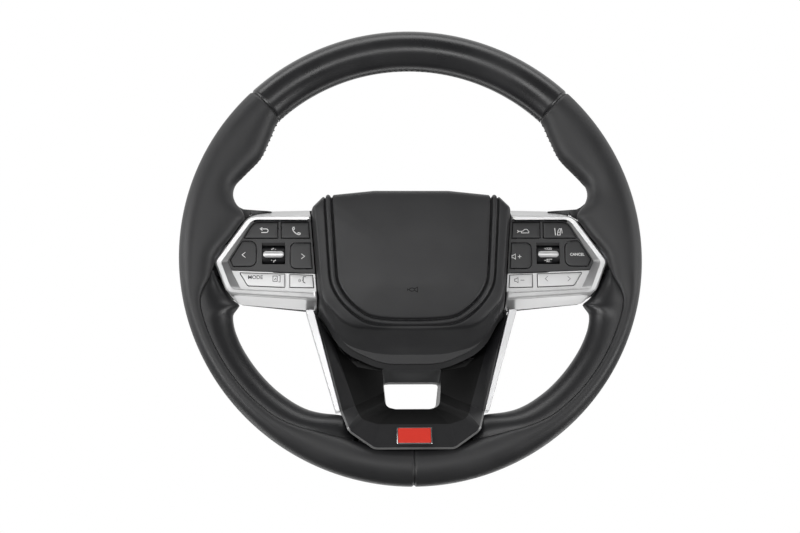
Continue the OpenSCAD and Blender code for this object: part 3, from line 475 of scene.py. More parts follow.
GRIP_ANGLES = with_seams(spaced(TOP_HALF + 0.05, 66, 0.9) + spaced(66, 112, 0.5) + spaced(112, 179.95, 0.9), (TOP_HALF + 0.05, 179.95))
TOP_ANGLES = with_seams(spaced(-TOP_HALF, TOP_HALF, 0.9), (-TOP_HALF, TOP_HALF))
leather_piece("grip_top", TOP_ANGLES, (-TOP_HALF, TOP_HALF), SMOOTH_LEATHER, top=True)
leather_piece("grip_right", GRIP_ANGLES, (TOP_HALF + 0.05, 179.95), GRAINED_LEATHER)
leather_piece("grip_left", GRIP_ANGLES, (TOP_HALF + 0.05, 179.95), GRAINED_LEATHER, mirror=True)

# ---------------------------------------------------------------- outlines of the clusters
def cover_side(y):
    return AIRBAG_HALF - 0.075 * (38.2 - y)


def end(y, dx=0.0):
    return (cover_side(y) + 0.8 + dx, y, 0.4)


def out(d, y, r=0.6):
    return (REACH - d, y, r)


def wide(d, y, r=0.6):
    return (AIRBAG_HALF - d, y, r)


BEZEL_FRONT = [end(-37.4), out(10.5, -32.8, 9), out(0, -6.15, 6), out(27.4, 32, 12), end(32)]
BEZEL_REAR = [end(-43.4), out(16.9, -37.4, 8), out(5.9, -8, 6), out(33.9, 40.6, 12), end(41.6)]
BEZEL_REACH = [end(-43.4), out(16.9, -37.4, 8), out(10.5, -32.8, 4), out(0, -6.15, 5), out(33.9, 40.6, 12), end(41.6)]
POCKET_TOP = [end(-33, 2.5), out(13.9, -29.5, 6), out(5.2, -6.5, 4), out(30.6, 28.9, 9), end(28.7, 2.5)]
POCKET_LIP = [end(-31, 2.5), out(21.4, -28, 4), out(10.1, -5, 3), out(30.9, 28.7, 9), end(28.5, 2.5)]
POCKET = [end(-31, 2.5), out(21.4, -28, 4), out(10.1, -5, 3), out(30.9, 29.2, 9), end(29.2, 2.5)]
OUTER_TOP_KEY = [out(51.8, 14.3), out(23.3, 14.3), out(31.6, 28, 8), out(51.8, 28)]
INNER_TOP_KEY = [end(14.3, 1.6), out(54, 14.3), out(54, 28), end(28, 1.6)]
OUTER_KEY = [out(34.2, -9.3, 6), out(14.9, -9.3, 1), out(12.4, -3.6, 1), out(22.3, 12.4, 0.8), out(34.2, 12.4, 6)]
INNER_KEY = [end(-11.2, 1.6), out(61.4, -11.2, 5), out(61.4, 10.8, 5), end(10.8, 1.6)]
INNER_LOW_KEY = [end(-27.2, 1.6), out(61, -26.8), out(61, -15.4), end(-16.2, 1.6)]
ROCKER = [out(57.4, -26.6), out(26.9, -25.3, 3), out(20.2, -14.2, 0.6), out(57.4, -15.4)]
ROLLER_X, ROLLER_Y, ROLLER_Z, ROLLER_R, ROLLER_W = REACH - 47.95, 0.8, -8.6, 7.5, 18.4
ROLLER_WINDOW = [(ROLLER_X + u * (ROLLER_W + 0.7) / 2, ROLLER_Y + v * 8, 0.3) for u, v in ((-1, -1), (1, -1), (1, 1), (-1, 1))]
ROLLER_OPENING = ROLLER_WINDOW[:2] + [(x, y + 2, r) for x, y, r in ROLLER_WINDOW[2:]]
UPPER = [end(-14.6), out(13.3, -11.9, 0.5), out(9.7, -5, 3), out(30.5, 29.7, 9), end(29.7)]
LOWER = [end(-31.9), out(20.7, -28.9, 4), out(13.0, -12.5, 0.5), end(-15.2)]
ROCKER_X = REACH - 38.6
SPOKE_OUT = both_sides([(32.5, -161.8, 9), (53, -147, 10), (58.5, -128.6, 2), (79.9, -44.6, 1), (50, -83, 6)])
SPOKE_BAND = both_sides([(29, -141, 6), (43, -136, 9), (47, -124, 6), (66, -62, 2), (46, -85, 5)])
SPOKE_FLOOR = both_sides([(22, -133, 6), (32, -129, 8), (36, -118, 8), (46, -84, 3), (36, -88, 4)])
WINDOW = both_sides([(14, -126, 5), (22, -124, 6), (23, -112, 3), (24.3, -92, 2), (19, -91.5, 1)])
WINDOW_REAR = both_sides([(13, -124.5, 5), (20.4, -122.6, 6), (21.4, -114, 3), (22.8, -102, 2), (18, -101.5, 1)])
OUT_Z, BAND_Z = [16.2, 13.6, -6, -10, -21], [11.5, 9, -2, -21, -17.5]
FLOOR_Z, WINDOW_Z = [0, -3, -9, -19.5, -20], [-10, -10, -12, -17, -17]
SPOKE_T, SPOKE_REAR, WINDOW_BACK = 2.4, -22, -28.3


# ---------------------------------------------------------------- inner trims
def trim_section(a, t):
    p, z = RIM_R - curve(FRONT_EDGE, a) - 0.3, curve(FRONT_HEIGHT, a) - t
    e = RIM_R - curve(OPENING_EDGE, a) + t
    r, mid = RIM_R - curve(REAR_EDGE, a) - 0.3, -4
    first = [(p - (p - e) * math.sin(math.radians(w)), mid + (z - mid) * max(0, math.cos(math.radians(w)))**1.3)
             for w in np.linspace(0, 90, 19)]
    second = [(r - (r - e) * math.cos(math.radians(w)), mid + (curve(REAR_HEIGHT, a) + t - mid) * math.sin(math.radians(w)))
              for w in np.linspace(7.5, 90, 12)]
    return first + second


def inner_trim(name, mirror):
    loops = [station(trim_section(a, 0) + trim_section(a, 2.2)[::-1], a) for a in spaced(95, 162.5, 0.6)]
    piece = loft(name, loops, TRIM, mirror=mirror, smooth=50)
    rear, front = rounded(inset(BEZEL_REAR, 0.2)), rounded(inset(BEZEL_FRONT, 0.2))
    cut(piece, [raise_to(rear, -30), raise_to(rear, -20), raise_to(front, 3), raise_to(front, 20)], mirror=mirror)
    cut(piece, column(inset(SPOKE_OUT, 0.25), -30, 20))
    piece.data.set_sharp_from_angle(angle=math.radians(50))
    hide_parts(name)


inner_trim("inner_trim_right", False)
inner_trim("inner_trim_left", True)


# ---------------------------------------------------------------- bezels and panels
def bezel(name, mirror):
    """Silver frame of a cluster. A fine groove parts its flank from its front band."""
    rear, front = rounded(BEZEL_REAR), rounded(BEZEL_FRONT)

    def flank(w, shrink=1.0):
        mid = np.array([REACH - 45, 0])
        return raise_to(mid + (front + (rear - front) * w - mid) * shrink, 3 - 23 * w)
    loops = [raise_to(rear, -20), flank(0.105), flank(0.095, 0.986), flank(0.055, 0.986), flank(0.045), raise_to(front, 3),
             raise_to(rounded(inset(BEZEL_FRONT, 1.2)), 4), raise_to(rounded(POCKET_TOP), 3.8), raise_to(rounded(POCKET_LIP), -2.4),
             raise_to(rounded(POCKET), -2.6),
             raise_to(rounded(POCKET), LEDGE), raise_to(rounded(inset(POCKET, 2.2)), LEDGE),
             raise_to(rounded(inset(POCKET, 2.2)), LEDGE - 2), raise_to(rounded(inset(BEZEL_REAR, 2.2)), -20)]
    piece = loft(name, loops, SILVER, ring=True, mirror=mirror)
    low, high = cover_side(-40) - 2, end(29)[0] + 2.8
    cut(piece, column([(low, -31.1, 0.1), (high, -31.1, 0.1), (high, 29.3, 0.1), (low, 29.3, 0.1)], LEDGE, 20, 2), mirror)
    # painted shade: the ledge under the black panel and the upper pocket wall are painted near black, the lower pocket
    # walls get a darker silver for the dark reflection they show, and the groove gets a painted grey shade; the other
    # pocket walls are plain metal
    for material in (PAINTED_SHADOW, TRIM_SILVER_AND_SHADE, LIGHT_AND_SHADE_GREY):
        piece.data.materials.append(material)
    for face in piece.data.polygons:
        x, y, z = abs(face.center.x) * 1000, face.center.z * 1000, -DISH - face.center.y * 1000
        level = 3 - 23 * 0.075
        if z < LEDGE + 0.2 and abs(face.normal.y) > 0.9:
            face.material_index = 1
        elif inside(inset(POCKET_TOP, -0.1), x, y) and -6 < z < 3.7:
            face.material_index = 1 if y > 28 else 2 if -27 < y < -5.5 else 0
        elif abs(z - level) < 0.3 and not inside(inset(BEZEL_FRONT, 1), x, y):
            face.material_index = 3
    finish_edges(piece, bevel=0.3, bevel_angle=18, segments=3)
    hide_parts(name)
    return piece


bezel_right = bezel("bezel_right", False)
bezel("bezel_left", True)


def shade_walls(piece, keep=()):
    """Side walls stand in the shadow of the narrow gaps round the keys and are dark, apart from an outer edge to keep."""
    piece.data.materials.append(PAINTED_SHADOW)
    edge = {(round(x, 2), round(y, 2)) for x, y in keep}
    for face in piece.data.polygons:
        corners = [piece.data.vertices[i].co for i in face.vertices]
        if abs(face.normal.y) < 0.3 and not all((round(abs(c.x) * 1000, 2), round(c.z * 1000, 2)) in edge for c in corners):
            face.material_index = len(piece.data.materials) - 1


def keyed_panel(name, corners, holes, material, mirror):
    """A front panel with softened edges round its key holes."""
    outlines = [rounded(corners)] + [rounded(hole, 8) for hole in holes]
    flat_points = [(p[0], p[1]) for outline in outlines for p in outline]
    n = len(flat_points)
    front = tessellate_polygon([[Vector((p[0], p[1], 0)) for p in outline] for outline in outlines])
    faces = [tuple(f) for f in front] + [tuple(n + i for i in reversed(f)) for f in front]
    start = 0
    for outline in outlines:
        m = len(outline)
        faces += [(start + i, start + (i + 1) % m, n + start + (i + 1) % m, n + start + i) for i in range(m)]
        start += m
    verts = [(*p, z) for z in (PANEL_FRONT, PANEL_BACK) for p in flat_points]
    piece = make(name, verts, faces, material, mirror=mirror, bevel=0.16, bevel_angle=30, segments=2)
    shade_walls(piece, outlines[0])
    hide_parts(name)


def roller_chamfer(name, mirror):
    """Sloped upper edge of the roller's window, a thumb's way in."""
    half, top, low = (ROLLER_W + 0.7) / 2, ROLLER_OPENING[2][1], ROLLER_WINDOW[2][1]
    section = [(top + 0.1, PANEL_FRONT - 0.1), (low, PANEL_FRONT - 1.9), (low, PANEL_FRONT - 2.6), (top + 0.1, PANEL_FRONT - 2.6)]
    loops = [[(ROLLER_X + u * half, y, z) for y, z in section] for u in (-1, 1)]
    piece = loft(name, loops, PANEL_BLACK, mirror=mirror, bevel=0.1)


for side, mirror in (("right", False), ("left", True)):
    keyed_panel("switch_panel_" + side, UPPER, [inset(hole, -0.2) for hole in (OUTER_TOP_KEY, INNER_TOP_KEY, OUTER_KEY, INNER_KEY)]
                + [ROLLER_OPENING], PANEL_BLACK, mirror)
    keyed_panel("lower_panel_" + side, LOWER, [inset(INNER_LOW_KEY, -0.1), inset(ROCKER, -0.3)], SILVER_KEY, mirror)
    roller_chamfer("roller_chamfer_" + side, mirror)


# ---------------------------------------------------------------- keys
def cap(name, corners, material, mirror, z1=KEY_TOP, z0=PANEL_BACK - 0.05, crown=0.12):
    """A key's cap with rounded edges and a slight crown."""
    edge = 0.35
    loops = [raise_to(rounded(corners), z0)]
    for k in range(6):
        w = math.radians(90 * k / 5)
        loops.append(raise_to(rounded(inset(corners, edge * (1 - math.cos(w)))), z1 - crown - edge + edge * math.sin(w)))
    for k in (1, 2, 3):
        loops.append(raise_to(rounded(inset(corners, edge + 0.9 * k)), z1 - crown + crown * (1 - (1 - k / 3)**2)))
    piece = loft(name, loops, material, mirror=mirror, smooth=60)
    shade_walls(piece)
    return piece


def plunger(x, y, mirror, material, z0=-11.5, z1=PANEL_BACK - 0.5, r=2.2):
    circle = [(x + r * math.cos(a), y + r * math.sin(a)) for a in np.linspace(0, 2 * math.pi, 24, endpoint=False)]
    return loft("plunger", [raise_to(circle, z0), raise_to(circle, z1)], material, mirror=mirror, bevel=0.2)


def middle(corners):
    xs, ys = [c[0] for c in corners], [c[1] for c in corners]
    return (min(xs) + max(xs)) / 2, (min(ys) + max(ys)) / 2


def push_key(name, corners, material, mirror):
    outline = inset(corners, KEY_GAP)
    x, y = middle(corners)
    parts = [cap("cap", outline, material, mirror), plunger(x, y, mirror, material)]
    piece = join(name, parts, name + "_body")
    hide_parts(name)


def rocker(name, mirror):
    outline = inset(ROCKER, 0.3)
    parts = [cap("cap", outline, SILVER_KEY, mirror, z0=PANEL_BACK - 1)]
    parts += [plunger(ROCKER_X + d, -20.6, mirror, SILVER_KEY) for d in (-11, 8)]
    pivot = [(ROCKER_X + 1.3 * math.cos(a), -9 + 1.3 * math.sin(a)) for a in np.linspace(0, 2 * math.pi, 20, endpoint=False)]
    parts.append(loft("pivot", [[(x, y, z) for x, z in pivot] for y in (-25.9, -15.6)], SILVER, mirror=mirror))
    web = [(ROCKER_X - 1.8, -24.5, 0.1), (ROCKER_X + 1.8, -24.5, 0.1), (ROCKER_X + 1.8, -16.9, 0.1), (ROCKER_X - 1.8, -16.9, 0.1)]
    parts.append(loft("web", [raise_to(rounded(web, 2), z) for z in (-9, PANEL_BACK - 0.8)], SILVER, mirror=mirror))
    piece = join(name, parts, name + "_body")
    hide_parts(name)


for key, corners, material, mirror in (
        ("back_key", OUTER_TOP_KEY, KEY_BLACK, True), ("phone_key", INNER_TOP_KEY, KEY_BLACK, True),
        ("previous_key", OUTER_KEY, KEY_BLACK, True), ("next_key", INNER_KEY, KEY_BLACK, True),
        ("voice_key", INNER_LOW_KEY, SILVER_KEY, True), ("lane_key", OUTER_TOP_KEY, KEY_BLACK, False),
        ("distance_key", INNER_TOP_KEY, KEY_BLACK, False), ("cancel_key", OUTER_KEY, KEY_BLACK, False),
        ("volume_up_key", INNER_KEY, KEY_BLACK, False), ("volume_down_key", INNER_LOW_KEY, SILVER_KEY, False)):
    push_key(key, corners, material, mirror)
rocker("mode_rocker", True)
rocker("seek_rocker", False)


# ---------------------------------------------------------------- rollers
def roller(name, mirror):
    """Thumb roller: a dark barrel with rounded shoulders, and a silver pill let into it."""
    profile = [(-ROLLER_W / 2 - 2.05, 1.5), (-ROLLER_W / 2, 1.5), (-ROLLER_W / 2, ROLLER_R - 0.8), (-ROLLER_W / 2 + 0.25, ROLLER_R - 0.25),
               (-ROLLER_W / 2 + 0.8, ROLLER_R)]
    profile += [(-x, r) for x, r in reversed(profile)]
    loops = [[(ROLLER_X + x, ROLLER_Y + r * math.sin(a), ROLLER_Z + r * math.cos(a))
              for a in np.linspace(0, 2 * math.pi, 96, endpoint=False)] for x, r in profile]
    barrel = loft(name, loops, LENS, mirror=mirror, body=name + "_body", smooth=40)
    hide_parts(name)
    pill = [(-8.5, -2.65, 2.6), (8.5, -2.65, 2.6), (8.5, 2.65, 2.6), (-8.5, 2.65, 2.6)]
    rows = []
    for d, lift_by in ((0, -1.2), (0, 0.25), (0.12, 0.5), (0.4, 0.66), (0.9, 0.72), (1.8, 0.76)):
        rows.append([(ROLLER_X + x, ROLLER_Y + y, ROLLER_Z + math.sqrt(ROLLER_R**2 - y * y) + lift_by)
                     for x, y in rounded(inset(pill, d), 12)])
    bar = loft(name.replace("roller", "roller_bar"), rows, SILVER, mirror=mirror, body=name + "_body", smooth=45)
    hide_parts(name.replace("roller", "roller_bar"))


roller("roller_right", False)
roller("roller_left", True)


# ---------------------------------------------------------------- lower spoke
def lower(heights, d):
    return [z - d for z in heights]


def flat(z):
    return [z] * 5


def spoke_cover():
    t, s = SPOKE_T, 10
    loops = [lift(inset(SPOKE_OUT, 0.4), [14.2, 11.6, SPOKE_REAR, -20.8, -24], s), lift(SPOKE_OUT, OUT_Z, s),
             lift(inset(SPOKE_OUT, 1.5), lower(OUT_Z, -1), s), lift(SPOKE_BAND, BAND_Z, s), lift(SPOKE_FLOOR, FLOOR_Z, s),
             lift(WINDOW, WINDOW_Z, s), lift(WINDOW_REAR, flat(WINDOW_BACK), s),
             lift(inset(WINDOW_REAR, -t), flat(WINDOW_BACK), s), lift(inset(WINDOW, -t), lower(WINDOW_Z, t), s),
             lift(SPOKE_FLOOR, lower(FLOOR_Z, t), s), lift(SPOKE_BAND, lower(BAND_Z, t), s),
             lift(inset(SPOKE_OUT, t + 0.6), lower(OUT_Z, t), s),
             lift(inset(SPOKE_OUT, t + 0.6), [13, 10.4, SPOKE_REAR, -20.8, -24.2], s)]
    piece = loft("lower_spoke_cover", loops, TRIM, ring=True, bevel=0.5, bevel_angle=22, segments=3)
    for material in (RECESS, LIGHT_AND_SHADE_GREY, EDGE_HIGHLIGHT_PAINT):
        piece.data.materials.append(material)
    for face in piece.data.polygons:
        x, y = face.center.x * 1000, face.center.z * 1000
        if face.normal.y < -0.1 and inside(SPOKE_BAND, x, y) and not inside(WINDOW, x, y):
            face.material_index = 1
        # painted light: the window's downward-facing top wall gets a lighter grey for the light it takes from below
        elif inside(WINDOW, x, y) and face.normal.z < -0.3 and y > -105:
            face.material_index = 2
        # painted highlight: the lower outer chamfer gets a lighter, glossier black as a bright edge line
        elif y < -120 and inside(inset(SPOKE_OUT, -0.3), x, y) and not inside(inset(SPOKE_OUT, 1.4), x, y) and face.normal.y < -0.1:
            face.material_index = 3
    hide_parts("lower_spoke_cover")


def side_trim(name, mirror):
    corners = [(58.9, -127.6, 0.3), (62.4, -128, 0.5), (86.7, -44.2, 0.5), (80.4, -44.2, 0.3)]
    loops = [raise_to(rounded(corners, 4), SPOKE_REAR), raise_to(rounded(corners, 4), -7)]
    piece = loft(name, loops, TRIM_SILVER_AND_SHADE, mirror=mirror, bevel=0.5, bevel_angle=40, segments=3)
    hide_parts(name)


spoke_cover()
side_trim("lower_trim_right", False)
side_trim("lower_trim_left", True)

# ---------------------------------------------------------------- rear covers
REAR_LOW = both_sides([(34, -163, 8), (54, -149, 10), (58, -128, 4), (74, -76, 3), (40, -76.5, 3)])
REAR_OUT = both_sides([(30, -73, 8), (66, -69, 8), (79, -44, 4), out(22, -38, 6), out(-8, -20, 8),
                       out(-8, 16, 8), out(34, 40.6, 8), (82, 41.6, 4), (66, 46, 10), (26, 48, 16)])
REAR_MID = both_sides([(28, -70, 8), (58, -66, 8), (73, -42, 4), out(25, -35, 6), out(-1, -17, 8),
                       out(-1, 13, 8), out(36, 37, 8), (78, 38, 4), (62, 43, 10), (24, 45, 16)])
REAR_DEEP = both_sides([(22, -64, 8), (42, -58, 8), (62, -36, 6), (74, -28, 6), (82, -14, 6),
                        (82, 10, 6), (76, 26, 6), (62, 34, 6), (46, 38, 8), (20, 40, 12)])
REAR_FLAT = both_sides([(18, -48, 8), (32, -43, 8), (44, -32, 6), (51, -21, 6), (55, -9, 6),
                        (55, 7, 6), (51, 19, 6), (43, 28, 6), (33, 34, 8), (16, 36, 10)])
COVER_SCREWS = [(-36, 20), (36, 20)]


def rear_covers():
    t, s, z = SPOKE_T, 8, -60
    front = [-43, -43, -21.2, -21.2, -17.5, -17.5, -20.4, -20.4, -20.4, -20.4]
    mid = [-47, -47, -39, -36, -33, -33, -36, -37, -37, -37]
    flat_points = rounded(REAR_FLAT, s)
    hole = np.array([27 * unit(p) for p in flat_points])
    loops = [lift(REAR_OUT, front, s), lift(REAR_MID, mid, s), raise_to(rounded(REAR_DEEP, s), -57), raise_to(flat_points, z),
             raise_to(hole, z), raise_to(hole, z + t), raise_to(rounded(inset(REAR_FLAT, t), s), z + t),
             raise_to(rounded(inset(REAR_DEEP, t), s), -57 + t), lift(inset(REAR_MID, t), lower(mid, -t), s),
             lift(inset(REAR_OUT, t), front, s)]
    piece = loft("rear_cover", loops, REAR, ring=True)
    for x, y in COVER_SCREWS:
        hole = [(x + 1.9 * math.cos(a), y + 1.9 * math.sin(a)) for a in np.linspace(0, 2 * math.pi, 20, endpoint=False)]
        cut(piece, [raise_to(hole, z - 5), raise_to(hole, z + 12)])
    finish_edges(piece, bevel=1.0, bevel_angle=24, segments=3)
    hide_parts("rear_cover")
    front = [-18.6, -18.8, SPOKE_REAR - 0.4, -38, -38]
    back = [-34, -35, -37, -41, -41]
    edge = WINDOW_BACK - 0.3
    loops = [lift(REAR_LOW, front, s), lift(inset(REAR_LOW, 5), back, s), lift(WINDOW_REAR, flat(-40), s),
             lift(WINDOW_REAR, flat(edge), s), lift(inset(WINDOW_REAR, -t), flat(edge), s),
             lift(inset(WINDOW_REAR, -t), flat(-40 + t), s), lift(inset(REAR_LOW, 5 + t), lower(back, -t), s),
             lift(inset(REAR_LOW, t), lower(front, -0.5), s)]
    piece = loft("lower_rear_cover", loops, REAR, ring=True, bevel=0.8, bevel_angle=24, segments=3)
    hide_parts("lower_rear_cover")


rear_covers()

# ---------------------------------------------------------------- airbag cover
CHIN = both_sides([wide(57, -94, 55), wide(24.3, -79, 42), wide(6.3, -46, 22), wide(0, 38.2, 6), wide(10.3, 48.6, 6), wide(52, 53, 30)])
FOLD = both_sides([wide(54, -76.6, 55), wide(26.3, -72, 36), wide(6.8, -43.5, 20), wide(0.3, 38, 6), wide(10.5, 48.3, 6), wide(52, 52.6, 30)])
BROW = both_sides([wide(50, -64.6, 50), wide(28, -62, 30), wide(8.2, -40, 16), wide(1.8, 37.5, 5), wide(11.3, 46.8, 5), wide(52, 51, 30)])
FACE = both_sides([wide(54, -57.5, 50), wide(32, -55.5, 28), wide(14, -37, 14), wide(8, 35, 5), wide(16, 42.5, 5), wide(54, 46, 30)])
CROWN = both_sides([wide(66, -30, 12), wide(52, -29, 10), wide(44, -18, 8), wide(40, 16, 4), wide(46, 21, 4), wide(66, 24, 12)])


def tilt(points, low, high):
    """Low at the chin, rising to full height above it."""
    rows = []
    for p in points:
        u = max(0, min(1, (p[1] + 66) / 50))
        rows.append((p[0], p[1], low + (high - low) * u * u * (3 - 2 * u)))
    return rows


def seam_path(d):
    """The outer seam's line on the cover, moved d inwards."""
    half = [(11.3, 60), (11.3, 52), (11.3, 40), (12.5, 18), (14, -6), (15.6, -24), (20, -35), (26.5, -44), (34.5, -51.5), (45, -58), (59, -60.8)]
    right = [(AIRBAG_HALF - x, y) for x, y in half] + [(0, -61.7)]
    line = smooth_path(np.array(right + [(-x, y) for x, y in reversed(right[:-1])]), 16)
    along = np.gradient(line, axis=0)
    along /= np.linalg.norm(along, axis=1, keepdims=True)
    return line + d * np.stack([along[:, 1], -along[:, 0]], 1)


def smooth_path(points, steps):
    """Catmull-Rom curve through the points."""
    p = np.vstack([2 * points[0] - points[1], points, 2 * points[-1] - points[-2]])
    rows = []
    for i in range(1, len(p) - 2):
        for k in range(steps):
            u = k / steps
            rows.append(0.5 * (2 * p[i] + (p[i + 1] - p[i - 1]) * u + (2 * p[i - 1] - 5 * p[i] + 4 * p[i + 1] - p[i + 2]) * u**2
                               + (3 * p[i] - p[i - 1] - 3 * p[i + 1] + p[i + 2]) * u**3))
    rows.append(p[-2])
    return np.array(rows)


def distance_to(path, xy):
    """Distance of many points to a polyline."""
    best = np.full(len(xy), 1e9)
    for a, b in zip(path[:-1], path[1:]):
        d = b - a
        u = np.clip(((xy - a) @ d) / (d @ d), 0, 1)
        best = np.minimum(best, np.linalg.norm(xy - a - u[:, None] * d, axis=1))
    return best


def around(n):
    """n directions round the cover, closer together where the grooves run over its top edge."""
    t = np.linspace(-math.pi, math.pi, 8000)
    crossing = math.atan2(56, 68)
    weight = 1 + sum(1.6 * np.exp(-((t - c) / 0.13)**2) for c in (crossing, math.pi - crossing))
    total = np.cumsum(weight)
    return np.interp(np.linspace(total[0], total[-1], n, endpoint=False), total, t)


def along_direction(loop, angles):
    """The points where rays from the middle of the cover leave a closed outline."""
    dense = resample(np.array(loop), 4000)
    s = np.arctan2(dense[:, 1] + 5, dense[:, 0])
    order = np.argsort(s)
    return np.stack([np.interp(angles, s[order], dense[order, k], period=2 * math.pi) for k in range(3)], 1)


def outward(grid):
    """Unit normals of a grid of points that closes along its rows, pointing to the front."""
    normal = np.cross(np.roll(grid, -1, 1) - np.roll(grid, 1, 1), np.gradient(grid, axis=0))
    normal /= np.linalg.norm(normal, axis=2, keepdims=True)
    return normal if normal[len(grid) // 2, :, 2].mean() > 0 else -normal


def airbag_cover():
    """The cover as a fine loft over its six outlines, with the two seam grooves pressed into it."""
    n = 1200
    angles = around(n)
    loops = [tilt(rounded(inset(CHIN, 1)), -10, -18), tilt(rounded(CHIN), -9, -9), tilt(rounded(FOLD), -1, 3),
             tilt(rounded(BROW), 6.5, 11), tilt(rounded(FACE), 11.5, 14.5), tilt(rounded(CROWN), 15.6, 16.5)]
    rows = np.array([along_direction(loop, angles) for loop in loops])
    centre = np.array([0, -4.0, 17.2])
    rows = np.concatenate([rows, (rows[-1:] - centre) * np.array([0.5, 0.5, 0.3]) + centre])
    steps = [(0, 1, 4), (1, 2, 12), (2, 3, 18), (3, 4, 26), (4, 4.4, 34), (4.4, 5, 16), (5, 6, 6)]
    grid = []
    for u in np.concatenate([np.linspace(a, b, k, endpoint=False) for a, b, k in steps] + [[6.0]]):
        i = min(5, int(u))
        f = u - i
        p0, p1, p2, p3 = rows[max(0, i - 1)], rows[i], rows[min(6, i + 1)], rows[min(6, i + 2)]
        if i <= 1:
            grid.append(p1 + (p2 - p1) * f)
        else:
            grid.append(0.5 * (2 * p1 + (p2 - p0) * f + (2 * p0 - 5 * p1 + 4 * p2 - p3) * f**2
                               + (3 * p1 - p0 - 3 * p2 + p3) * f**3))
    grid = np.array(grid)
    verts = grid.reshape(-1, 3)
    front = np.clip((verts[:, 2] + 4) / 6, 0, 1)
    outer, inner = (distance_to(seam_path(d), verts[:, :2]) for d in (0, SEAM_PITCH))
    pipe = distance_to(seam_path(SEAM_PITCH / 2), verts[:, :2])
    dip = (2.0 * np.exp(-(outer / 0.8)**2) + 2.4 * np.exp(-(inner / 1.0)**2)) * front
    swell = 0.7 * np.exp(-(pipe / 1.5)**2) * front
    verts = verts + outward(grid).reshape(-1, 3) * (swell - dip)[:, None]
    faces = loft_faces(len(grid), n)
    last = len(verts)
    verts = np.vstack([verts, centre])
    faces += [((len(grid) - 1) * n + i, (len(grid) - 1) * n + (i + 1) % n, last) for i in range(n)]
    # the skirt's inside, closed behind
    inside = [(x * 0.965, y * 0.965, z) for x, y, z in grid[0]]
    deep = [(x, y, 3 if y > -50 else -4) for x, y, z in inside]
    base = len(verts)
    verts = np.vstack([verts, inside, deep])
    faces += [(i, (i + 1) % n, base + (i + 1) % n, base + i) for i in range(n)]
    faces += [(base + i, base + (i + 1) % n, base + n + (i + 1) % n, base + n + i) for i in range(n)]
    faces.append(tuple(base + n + i for i in range(n)))
    piece = make("airbag_cover", [tuple(v) for v in verts], faces, AIRBAG, body="airbag_module", smooth=60)
    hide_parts("airbag_cover")
    return BVHTree.FromPolygons([Vector(v) for v in verts[:last]], faces[:(len(grid) - 1) * n])


cover_surface = airbag_cover()

# ---------------------------------------------------------------- legends
def ribbon(points, width, height, depth=0.25, closed=False):
    """Vertices and faces of a stroke of this width along points, standing at height(x, y) on a surface."""
    p = [np.array(q, float) for q in points]
    n, rows = len(p), []
    for i in range(n):
        before = p[i] - p[i - 1] if closed or i else p[1] - p[0]
        after = p[(i + 1) % n] - p[i] if closed or i < n - 1 else p[-1] - p[-2]
        u, v = unit(before), unit(after)
        side = np.array([-u[1], u[0]]) + np.array([-v[1], v[0]])
        side = side / max(0.5, side @ side / 2)
        a, b = p[i] + side * width / 2, p[i] - side * width / 2
        rows += [(*a, height(*a)), (*b, height(*b)), (*b, height(*b) - depth), (*a, height(*a) - depth)]
    faces = loft_faces(n, 4, closed_rows=closed)
    if not closed:
        faces += [(3, 2, 1, 0), tuple(4 * (n - 1) + k for k in range(4))]
    return rows, faces


def legend(name, strokes, height, material, body):
    """One piece from several strokes (points, width, closed)."""
    verts, faces = [], []
    for points, width, closed in strokes:
        rows, quads = ribbon(points, width, height, closed=closed)
        faces += [tuple(i + len(verts) for i in f) for f in quads]
        verts += rows
    piece = make(name, verts, faces, material, body=body, smooth=20)


def arc(x, y, r, first, last, steps=12, squash=1.0):
    return [(x + r * math.cos(math.radians(a)), y + squash * r * math.sin(math.radians(a))) for a in np.linspace(first, last, steps)]


def shifted(x, y, strokes, scale=1.0):
    return [([(x + scale * u, y + scale * v) for u, v in points], width, closed) for points, width, closed in strokes]


def chevron(x, y, across, up, width=0.55):
    """An open arrow head whose tip is at (x + across, y + up)."""
    if across:
        return [([(x, y + 2.1), (x + across, y), (x, y - 2.1)], width, False)]
    return [([(x - 1.8, y), (x, y + up), (x + 1.8, y)], width, False)]


def speaker(x, y):
    return shifted(x, y, [([(-1.6, -1), (-0.5, -1), (1.2, -2.2), (1.2, 2.2), (-0.5, 1), (-1.6, 1)], 0.5, True)])


def plus(x, y, r=1.5, width=0.55):
    return [([(x - r, y), (x + r, y)], width, False), ([(x, y - r), (x, y + r)], width, False)]


def minus(x, y, r=1.6, width=0.5):
    return [([(x - r, y), (x + r, y)], width, False)]


def words(name, text, x, y, size, height, material, body):
    """Small upright lettering, cut from a font curve and laid on a key."""
    data = bpy.data.curves.new(name, "FONT")
    data.body, data.size, data.align_x, data.align_y = text, size, "CENTER", "CENTER"
    data.resolution_u, data.offset = 3, 0.02 * size
    item = bpy.data.objects.new(name, data)
    scene.collection.objects.link(item)
    flat_mesh = bpy.data.meshes.new_from_object(item.evaluated_get(bpy.context.evaluated_depsgraph_get()))
    outline = [(x + v.co.x, y + v.co.y) for v in flat_mesh.vertices]
    faces = [tuple(p.vertices) for p in flat_mesh.polygons]
    edges = {}
    for f in faces:
        for a, b in zip(f, f[1:] + f[:1]):
            edges[(a, b)] = edges.get((a, b), 0) + 1
    rim = [(a, b) for a, b in edges if (b, a) not in edges]
    n = len(outline)
    verts = [(*q, height(*q)) for q in outline] + [(*q, height(*q) - 0.25) for q in outline]
    faces += [tuple(n + i for i in reversed(f)) for f in faces] + [(b, a, n + a, n + b) for a, b in rim]
    bpy.data.objects.remove(item)
    piece = make(name, verts, faces, material, body=body, smooth=20)


def key_height(x, y):
    return KEY_TOP + 0.03


def drum_height(x, y):
    return ROLLER_Z + math.sqrt(ROLLER_R**2 - (y - ROLLER_Y)**2) + 0.08


